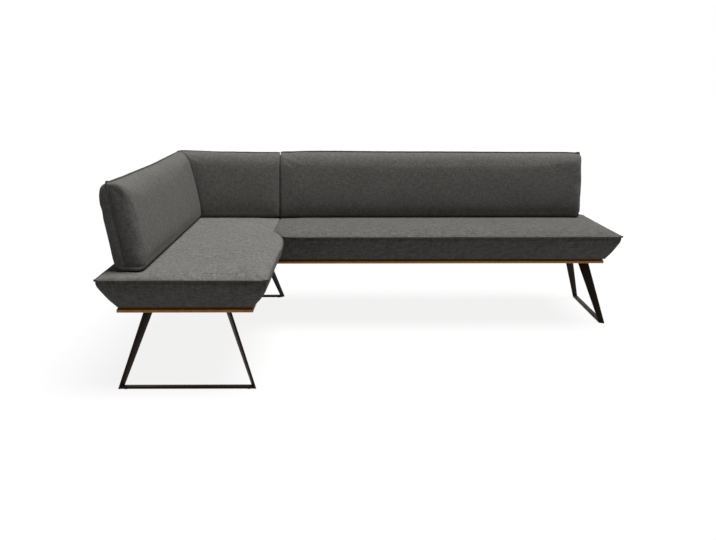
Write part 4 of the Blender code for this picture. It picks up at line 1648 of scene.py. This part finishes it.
    def rings(self) -> list[Array]:
        """Return the rings from the rear panel's edge, over the seam, to the front panel's."""
        soft, free = self.corner_radii(False), self.free_ends
        made = []
        for step in range(self.rear_steps + 1):
            turn = math.pi / 2 * (1 - step / self.rear_steps)
            drawn = 1 - math.cos(turn)
            ends = [self.rear_rolls[kind] * drawn - self.rear_swell * share
                    for kind, share in zip(self.ends, free)]
            recess = self.rear_bulge - self.rear_depth * (1 - math.sin(turn))
            insets = (self.rear_foot * drawn, self.rear_top * drawn, *ends)
            made.append(self.ring(0.0, recess, insets, soft))
        tucked = [self.end_tuck * share for share in free]
        made.append(self.ring(0.0, -self.seam_depth, (0.0, 0.0, *tucked),
                              self.corner_radii(True)))
        return made + self.front_rings()

    def front_rings(self) -> list[Array]:
        """Return the rings in front of the seam: the box's sides and the front edge's roll."""
        soft, free = self.corner_radii(False), self.free_ends
        rolls, made = self.rolls(), []
        for step in range(1, self.box_steps + 1):
            share = step / (self.box_steps + 1)
            full = math.sin(math.pi / 2 * share)
            ends = [mix(self.end_tuck, -self.end_swell, full) * share_free
                    for share_free in free]
            made.append(self.ring(share, mix(-self.seam_depth, rolls, share),
                                  (0.0, -self.top_swell * full, *ends), soft))
        for step in range(self.roll_steps + 1):
            turn = math.pi / 2 * step / self.roll_steps
            drawn = 1 - math.cos(turn)
            ends = [self.end_roll(bool(last)) * drawn - self.end_swell * share_free
                    for last, share_free in enumerate(free)]
            made.append(self.ring(1.0, rolls * (1 - math.sin(turn)),
                                  (self.foot_roll * drawn,
                                   self.top_rolls() * drawn - self.top_swell, *ends),
                                  soft * (1 + 0.5 * math.sin(turn))))
        return made

    def panels(self, rings: list[Array]) -> tuple[Array, Array]:
        """Return the rear panel and the front one, both crowned."""
        rear, front = self.net(rings[0]), self.net(rings[-1])
        along, out, z = self.unplaced(rear)
        crown = self.crown((along[:, -1] - along[:, 0])[:, None], self.height,
                           lambda away: 1 - (1 - np.clip(away / self.rear_reach, 0, 1)) ** 2)
        s = self.column_shares[None, :]
        out = self.outward(s, z, 0.0, self.rear_bulge) + self.rear_crown * crown
        rear[1:-1, 1:-1] = self.placed(along, out, z)[1:-1, 1:-1]
        along, out, z = self.unplaced(front)
        out = self.outward(s, z, 1.0, 0.0) - self.belly(s, self.row_shares[:, None])
        front[1:-1, 1:-1] = self.placed(along, out, z)[1:-1, 1:-1]
        return rear, front

    def freedom(self, points: Array) -> Array:
        """Return how freely the cloth may swell: not at the foot, a joint or the corner."""
        along, out, z = self.unplaced(points)
        foot_held, foot_fade, end_held, end_fade = 0.012, 0.06, 0.004, 0.035
        free = ease((z - self.layout.back_foot - foot_held) / foot_fade)
        for last, kind in enumerate(self.ends):
            if kind is not End.FREE:
                edge = self.end_edge(bool(last), z, out)
                free = free * ease((np.abs(along - edge) - end_held) / end_fade)
        return free

    def seam_line(self, points: Array) -> SeamLine:
        """Return the line of the seam's edging: over the top and down the free ends."""
        column, row = self.cells[:, 0], self.cells[:, 1]
        kept = row == self.rows
        for edge, kind in zip((0, self.columns), self.ends):
            if kind is End.FREE:
                kept = kept | ((column == edge) & (row > 0))
        axis = np.array([math.cos(self.lean), 0.0, math.sin(self.lean)])
        if self.edge is Edge.REAR:
            axis = np.array([0.0, -math.cos(self.lean), math.sin(self.lean)])
        outward = side_normals(points, axis)
        free = [edge for edge, kind in zip((0, self.columns), self.ends) if kind is End.FREE]
        corners = (row == self.rows) & np.isin(column, free)
        order, ears = part_line(kept, corners)
        return SeamLine(points[order], outward[order],
                        np.broadcast_to(axis, outward.shape)[order], ears,
                        np.ones(len(order)))


@dataclass
class BasePlate:
    """An oak plate under a seat, its upper edge cut back in a wide chamfer.

    Attributes:
        node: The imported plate.
        finish: Its finish, with the grain along the plate.
        chamfer_in: How far the chamfer goes in at the top.
        chamfer_down: How far it goes down.
        ease: Size of the small chamfer under the plate.
        rounding: Radius of its edges.
    """

    node: str
    finish: Finish
    chamfer_in: float = 0.006
    chamfer_down: float = 0.0105
    ease: float = 0.0015
    rounding: float = 0.0007

    def build(self) -> None:
        """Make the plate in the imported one's place."""
        low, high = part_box(self.node)
        levels = ((self.ease, low.z), (0.0, low.z + self.ease),
                  (0.0, high.z - self.chamfer_down), (self.chamfer_in, high.z))
        rings = [[Vector((low.x + inset, low.y + inset, z)),
                  Vector((high.x - inset, low.y + inset, z)),
                  Vector((high.x - inset, high.y - inset, z)),
                  Vector((low.x + inset, high.y - inset, z))] for inset, z in levels]
        form = round_edges(loft(rings), self.rounding)
        settle(add_piece(self.node + "_oak", form), self.finish, self.node)


@dataclass
class SledFrame:
    """A sled of black flat bar: two legs that widen and lean upwards, and a bar on the floor.

    Attributes:
        name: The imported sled's name.
        place: Gives the point at a distance across, outwards and up.
        leg_top: Height of the legs.
        foot_half_span: Half its span at the floor.
        foot_reach: How far the feet stand out of the plate's edge.
        lean_in: How far the legs lean in over their height.
        lean_back: How far they lean back under the bench.
        turn: Angle by which a leg's face is turned.
        leg_thickness: Thickness of a leg.
        foot_width: Width of a leg at the floor.
        top_width: Width of a leg at its top.
        bar_width: Width of the floor bar.
        bar_height: Height of the floor bar.
        bar_foot: Height of its underside.
        rounding: Radius of the bars' edges.
        bead: Radius of the weld beads under the top plate.
        bead_pitch: Length of one ripple of a bead.
        bead_ripple: How much a ripple swells it.
        bead_sides: Points round a bead.
        seam: Gap between bar and leg.
    """

    name: str
    place: Callable[[float, float, float], Vector]
    leg_top: float
    foot_half_span: float = 0.2885
    foot_reach: float = 0.022
    lean_in: float = 0.1065
    lean_back: float = 0.079
    turn: float = math.radians(28.0)
    leg_thickness: float = 0.008
    foot_width: float = 0.0277
    top_width: float = 0.057
    bar_width: float = 0.025
    bar_height: float = 0.010
    bar_foot: float = 0.0023
    rounding: float = 0.0008
    bead: float = 0.0022
    bead_pitch: float = 0.003
    bead_ripple: float = 0.16
    bead_sides: int = 8
    seam: float = 0.0001

    def leg_corners(self, z: float, hand: int) -> list[Vector]:
        """Return the four corners of a leg's section at a height."""
        share = z / self.leg_top
        edge = Vector((self.foot_half_span - self.lean_in * share,
                       self.foot_reach - self.lean_back * share))
        along = Vector((-math.sin(self.turn), -math.cos(self.turn)))
        through = Vector((-math.cos(self.turn), math.sin(self.turn))) * self.leg_thickness
        level = (z - self.bar_foot) / (self.leg_top - self.bar_foot)
        width = along * mix(self.foot_width, self.top_width, level)
        corners = (edge, edge + width, edge + width + through, edge + through)
        return [self.place(hand * corner.x, corner.y, z) for corner in corners]

    def inner_face(self, out: float, z: float) -> float:
        """Return how far across a leg's inner face stands, at a place outwards and up."""
        share = z / self.leg_top
        along = ((self.foot_reach - self.lean_back * share
                  + self.leg_thickness * math.sin(self.turn) - out) / math.cos(self.turn))
        return (self.foot_half_span - self.lean_in * share
                - self.leg_thickness * math.cos(self.turn) - along * math.sin(self.turn))

    def add_bar(self, node: str, ending: str, rings: Sequence[Sequence[Vector]],
                steel: Finish) -> None:
        """Make a bar with rounded edges in a packed one's place."""
        form = round_edges(loft(rings), self.rounding)
        settle(add_piece(node + ending, form), steel, node)

    def build_leg(self, side: str, hand: int, steel: Finish) -> None:
        """Make one leg."""
        rings = [self.leg_corners(z, hand) for z in (self.bar_foot, self.leg_top)]
        self.add_bar("%s_%s_leg" % (self.name, side), "_bar", rings, steel)

    def build_floor_bar(self, steel: Finish) -> None:
        """Make the bar on the floor, its ends cut to the slope of the legs."""
        inner, outer = self.foot_reach - self.bar_width, self.foot_reach
        top = self.bar_foot + self.bar_height
        rings = [[self.place(hand * (self.inner_face(out, z) - self.seam), out, z)
                  for out, z in ((inner, self.bar_foot), (outer, self.bar_foot),
                                 (outer, top), (inner, top))] for hand in (-1, 1)]
        self.add_bar(self.name + "_floor_bar", "_flat", rings, steel)

    def build_beads(self, steel: Finish) -> None:
        """Make the rippled weld bead round the top of each leg."""
        form = bmesh.new()
        for hand in (-1, 1):
            corners = self.leg_corners(self.leg_top, hand)
            middle = sum(corners, Vector()) / len(corners)
            for first, last in ((corners[0], corners[1]), (corners[2], corners[3])):
                self.add_bead(form, first, last, middle)
        settle(add_piece(self.name + "_weld_beads", form, 60.0), steel)

    def add_bead(self, form: bmesh.types.BMesh, first: Vector, last: Vector,
                 middle: Vector) -> None:
        """Add a bead along one edge of a leg's top.

        Args:
            form: The form to add to.
            first: Where the bead begins.
            last: Where it ends.
            middle: The middle of the leg's top.
        """
        steps = max(int((last - first).length / self.bead_pitch) * 3, 6)
        along = (last - first).normalized()
        out = (first - middle) - along * (first - middle).dot(along)
        out.normalize()
        rings = []
        for step in range(steps + 1):
            share = step / steps
            ripple = 1 + self.bead_ripple * math.cos(2 * math.pi * step / 3)
            radius = self.bead * ripple * min(1.0, 4 * share + 0.3, 4 * (1 - share) + 0.3)
            centre = first.lerp(last, share) - Vector((0.0, 0.0, 0.3 * self.bead))
            turns = (2 * math.pi * side / self.bead_sides for side in range(self.bead_sides))
            rings.append([centre + radius * (math.cos(turn) * out
                                             + math.sin(turn) * Vector((0, 0, 1)))
                          for turn in turns])
        skin(form, rings)

    def build(self, palette: Palette) -> None:
        """Make the sled's bars and weld beads."""
        for side, hand in (("left", -1), ("right", 1)):
            self.build_leg(side, hand, palette.steel)
        self.build_floor_bar(palette.steel)
        self.build_beads(palette.steel)


@dataclass
class PanHeadScrew:
    """The domed head of a screw that comes up through a steel plate.

    Attributes:
        radius: Radius of the head.
        height: Height of the head.
        socket: Radius of its six-sided socket.
        socket_depth: Depth of the socket.
        sides: Points round the head.
    """

    radius: float = 0.0056
    height: float = 0.0028
    socket: float = 0.0019
    socket_depth: float = 0.0014
    sides: int = 24

    def add_to(self, form: bmesh.types.BMesh, centre: Vector) -> None:
        """Add a head that hangs under a point of a plate's lower face."""
        profile = [(self.radius, 0.0), (self.radius, 0.35 * self.height),
                   (0.90 * self.radius, 0.72 * self.height),
                   (0.66 * self.radius, 0.94 * self.height),
                   (1.15 * self.socket, self.height), (self.socket, 0.97 * self.height),
                   (self.socket, self.height - self.socket_depth)]
        rings = []
        for number, (radius, down) in enumerate(profile):
            ring = []
            for side in range(self.sides):
                turn = 2 * math.pi * side / self.sides
                reach = radius
                if number >= len(profile) - 2:
                    sixth = math.pi / 3
                    reach = radius * math.cos(sixth / 2) / math.cos(turn % sixth - sixth / 2)
                ring.append(centre + Vector((reach * math.cos(turn), reach * math.sin(turn),
                                             -down)))
            rings.append(ring)
        skin(form, rings)


@dataclass
class ScrewSet:
    """The screws of one drilled plate.

    Attributes:
        node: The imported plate.
        edge: Distance of the outer screws from the plate's edges.
        across: Whether the plate is narrow, with its screws in one row along X.
    """

    node: str
    edge: float = 0.018
    across: bool = False

    def centres(self) -> list[Vector]:
        """Return the places of the holes on the plate's lower face."""
        low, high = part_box(self.node)
        middle = (low + high) / 2
        if self.across:
            half = (high.x - low.x) / 2 - self.edge
            return [Vector((middle.x + share * half, middle.y, low.z))
                    for share in (-1.0, -0.5, 0.5, 1.0)]
        return [Vector((x, y, low.z)) for x in (low.x + self.edge, high.x - self.edge)
                for y in (low.y + self.edge, high.y - self.edge)]

    def build(self, finish: Finish) -> None:
        """Make the heads of the plate's screws as one piece."""
        form = bmesh.new()
        for centre in self.centres():
            PanHeadScrew().add_to(form, centre)
        settle(add_piece(self.node + "_screws", form, 40.0), finish)


@dataclass
class Studio:
    """A white studio: pale floor, soft light from above and a camera.

    Attributes:
        lens: Focal length in millimetres.
        sensor: Sensor width in millimetres.
        eye: The camera's place.
        pitch: Degrees by which it looks down.
        heading: Degrees by which it looks to the right.
        key: Strength of the light from above.
        key_from: Direction to that light.
        key_softness: Its apparent size in degrees.
        ambient: Strength of the light from all round.
        floor_radius: Radius of the floor.
        floor_glow: Share of the floor's white that has no shadow.
        floor_pale: Colour of the floor that keeps the shadow.
        floor_dim: Colour of the floor for light that it throws back.
    """

    lens: float = 43.425
    sensor: float = 36.0
    eye: tuple[float, float, float] = (-0.16671, -4.17694, 1.27185)
    pitch: float = 12.652
    heading: float = 0.375
    key: float = 2.9
    key_from: tuple[float, float, float] = (0.275, -0.012, 0.961)
    key_softness: float = 36.0
    ambient: float = 0.05
    floor_radius: float = 60.0
    floor_glow: float = 0.87
    floor_pale: float = 0.16
    floor_dim: float = 0.31

    def seen_directly(self, tree: bpy.types.NodeTree) -> Socket:
        """Return 1 for rays that come from the camera, a mirror or glass."""
        path = tree.nodes.new("ShaderNodeLightPath")
        most = path.outputs["Is Camera Ray"]
        for name in ("Is Glossy Ray", "Is Transmission Ray"):
            node = tree.nodes.new("ShaderNodeMath")
            node.operation = "MAXIMUM"
            tree.links.new(most, node.inputs[0])
            tree.links.new(path.outputs[name], node.inputs[1])
            most = node.outputs[0]
        return most

    def choose(self, tree: bpy.types.NodeTree, other: bpy.types.Node,
               direct: bpy.types.Node, output: bpy.types.Node) -> None:
        """Give an output one shader where it is seen directly, and another elsewhere.

        Args:
            tree: The node tree.
            other: The shader for the light that it throws back.
            direct: The shader for what sees it directly.
            output: The output.
        """
        choice = tree.nodes.new("ShaderNodeMixShader")
        sources = (self.seen_directly(tree), other.outputs[0], direct.outputs[0])
        for source, socket in zip(sources, choice.inputs):
            tree.links.new(source, socket)
        tree.links.new(choice.outputs[0], output.inputs["Surface"])

    def build_world(self) -> None:
        """Make a world that looks white and lights the bench softly."""
        world = bpy.data.worlds.new("studio_world")
        world.use_nodes = True
        bpy.context.scene.world = world
        tree = world.node_tree
        glow = tree.nodes["Background"]
        white = tree.nodes.new("ShaderNodeBackground")
        for node in (white, glow):
            node.inputs["Color"].default_value = (1.0, 1.0, 1.0, 1.0)
        glow.inputs["Strength"].default_value = self.ambient
        self.choose(tree, glow, white, tree.nodes["World Output"])

    def build_floor(self) -> None:
        """Make the wide pale floor, which keeps a faint shadow."""
        form = bmesh.new()
        bmesh.ops.create_circle(form, cap_ends=True, segments=64, radius=self.floor_radius)
        floor = add_piece("studio_floor", form)
        material = bpy.data.materials.new("studio_floor")
        material.use_nodes = True
        tree = material.node_tree
        tree.nodes.remove(tree.nodes["Principled BSDF"])
        shaders = {}
        for name, kind, value in (("dim", "BsdfDiffuse", self.floor_dim),
                                  ("pale", "BsdfDiffuse", self.floor_pale),
                                  ("glow", "Emission", self.floor_glow)):
            shaders[name] = tree.nodes.new("ShaderNode" + kind)
            shaders[name].inputs["Color"].default_value = (value, value, value, 1.0)
        both = tree.nodes.new("ShaderNodeAddShader")
        for name, socket in zip(("pale", "glow"), both.inputs):
            tree.links.new(shaders[name].outputs[0], socket)
        self.choose(tree, shaders["dim"], both, tree.nodes["Material Output"])
        floor.data.materials.append(material)

    def build_key(self) -> None:
        """Make the soft light above the bench."""
        light = bpy.data.lights.new("key", "SUN")
        light.energy = self.key
        light.angle = math.radians(self.key_softness)
        lamp = show("key", light)
        lamp.rotation_mode = "QUATERNION"
        lamp.rotation_quaternion = Vector(self.key_from).to_track_quat("Z", "Y")

    def build_camera(self) -> None:
        """Make the camera where the photograph was taken."""
        data = bpy.data.cameras.new("camera")
        data.lens, data.sensor_width = self.lens, self.sensor
        camera = show("camera", data)
        camera.location = self.eye
        camera.rotation_euler = (math.radians(90 - self.pitch), 0.0,
                                 math.radians(-self.heading))
        bpy.context.scene.camera = camera

    def build(self) -> None:
        """Set up the studio."""
        bpy.context.scene.view_settings.view_transform = "Standard"
        self.build_world()
        self.build_floor()
        self.build_key()
        self.build_camera()
        log.info("studio: floor, world, key light and camera")


@dataclass
class CornerBench:
    """The whole bench.

    Attributes:
        nodes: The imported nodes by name.
        layout: The places that they give.
        palette: The finishes.
        back_top: Height of the backs' seams.
        back_rows: Steps of the backs' nets up them.
        side_inset: Distance of the side back's free end from the plate's end.
        long_inset: The same for the long back.
    """

    nodes: dict[str, bpy.types.Object]
    layout: Layout
    palette: Palette = field(default_factory=Palette)
    back_top: float = 0.8495
    back_rows: int = 24
    side_inset: float = 0.020
    long_inset: float = 0.0285

    def carried_over(self) -> dict[str, Finish]:
        """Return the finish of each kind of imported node, by a word in its name."""
        kinds = self.palette
        return {"cover": kinds.cloth, "base_plate": kinds.oak_across, "seat_frame": kinds.beech,
                "back_board": kinds.plywood, "foam": kinds.foam, "webbing": kinds.webbing,
                "glide": kinds.glide,
                **dict.fromkeys(("bracket", "leg", "floor_bar", "top_plate", "joining_plate"),
                                kinds.steel)}

    def dress_nodes(self) -> None:
        """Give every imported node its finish."""
        finishes = self.carried_over()
        for name, node in sorted(self.nodes.items()):
            finish = next(finish for word, finish in finishes.items() if word in name)
            finish.dress(node)
            log.info("%s: packed node, %s", name, finish.name)

    def build_seats(self) -> None:
        """Make the two seat cushions."""
        for name, columns, rows, cloth in (
                ("corner_seat", 44, 102, self.palette.painted_light_cloth),
                ("long_seat", 110, 44, self.palette.seat_cloth)):
            SeatCushion(node=name, columns=columns, rows=rows, cloth=cloth,
                        layout=self.layout, long=name == "long_seat").build(self.palette)

    def build_backs(self) -> None:
        """Make the three back cushions."""
        place = self.layout
        runs = (("side_back", 94, 0.004, Edge.LEFT, place.front + self.side_inset, place.rear,
                 (End.FREE, End.MITRE),
                 ((0.0, 0.0070), (0.04, 0.002), (0.2, -0.001), (0.55, -0.004), (0.72, -0.001),
                  (0.9, 0.002), (1.0, 0.0055))),
                ("corner_back", 38, 0.0, Edge.REAR, place.left, place.joint,
                 (End.MITRE, End.BUTT),
                 ((0.0, 0.0055), (0.45, -0.002), (0.8, -0.0045), (1.0, -0.005))),
                ("long_back", 106, 0.0175, Edge.REAR, place.joint,
                 place.right - self.long_inset, (End.BUTT, End.FREE),
                 ((0.0, -0.002), (0.13, 0.002), (0.4, -0.0015), (0.88, -0.005), (0.96, -0.006),
                  (1.0, -0.009))))
        for name, columns, flare, edge, start, finish, ends, top_line in runs:
            BackCushion(node=name, columns=columns, rows=self.back_rows,
                        cloth=self.palette.cloth, layout=place, edge=edge, start=start,
                        finish=finish, ends=ends, flare=flare, top=self.back_top,
                        top_line=top_line).build(self.palette)

    def build_plates(self) -> None:
        """Make the two oak plates."""
        BasePlate("corner_base_plate", self.palette.oak_deep).build()
        BasePlate("long_base_plate", self.palette.oak_across).build()

    def build_sleds(self) -> None:
        """Make the three sleds and the screws of every steel plate."""
        place = self.layout
        x, y = (place.left + place.joint) / 2, (place.long_front + place.rear) / 2
        spots = {
            "front_sled": lambda across, out, z: Vector((x + across, place.front - out, z)),
            "corner_sled": lambda across, out, z: Vector((x + across, place.rear + out, z)),
            "right_sled": lambda across, out, z: Vector((place.right + out, y + across, z)),
        }
        for name, spot in spots.items():
            SledFrame(name, spot, place.leg_top).build(self.palette)
            ScrewSet(name + "_top_plate").build(self.palette.screw)
        for number in (1, 2):
            ScrewSet("joining_plate_%d" % number, across=True).build(self.palette.screw)

    def build(self) -> None:
        """Make and finish every piece of the bench."""
        self.dress_nodes()
        self.build_plates()
        self.build_sleds()
        self.build_seats()
        self.build_backs()


def main() -> None:
    """Load the frame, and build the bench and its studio."""
    logging.basicConfig(level=logging.INFO, format="%(message)s")
    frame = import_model()
    Studio().build()
    CornerBench(frame["nodes"], Layout.from_frame()).build()


if __name__ == "__main__":
    main()
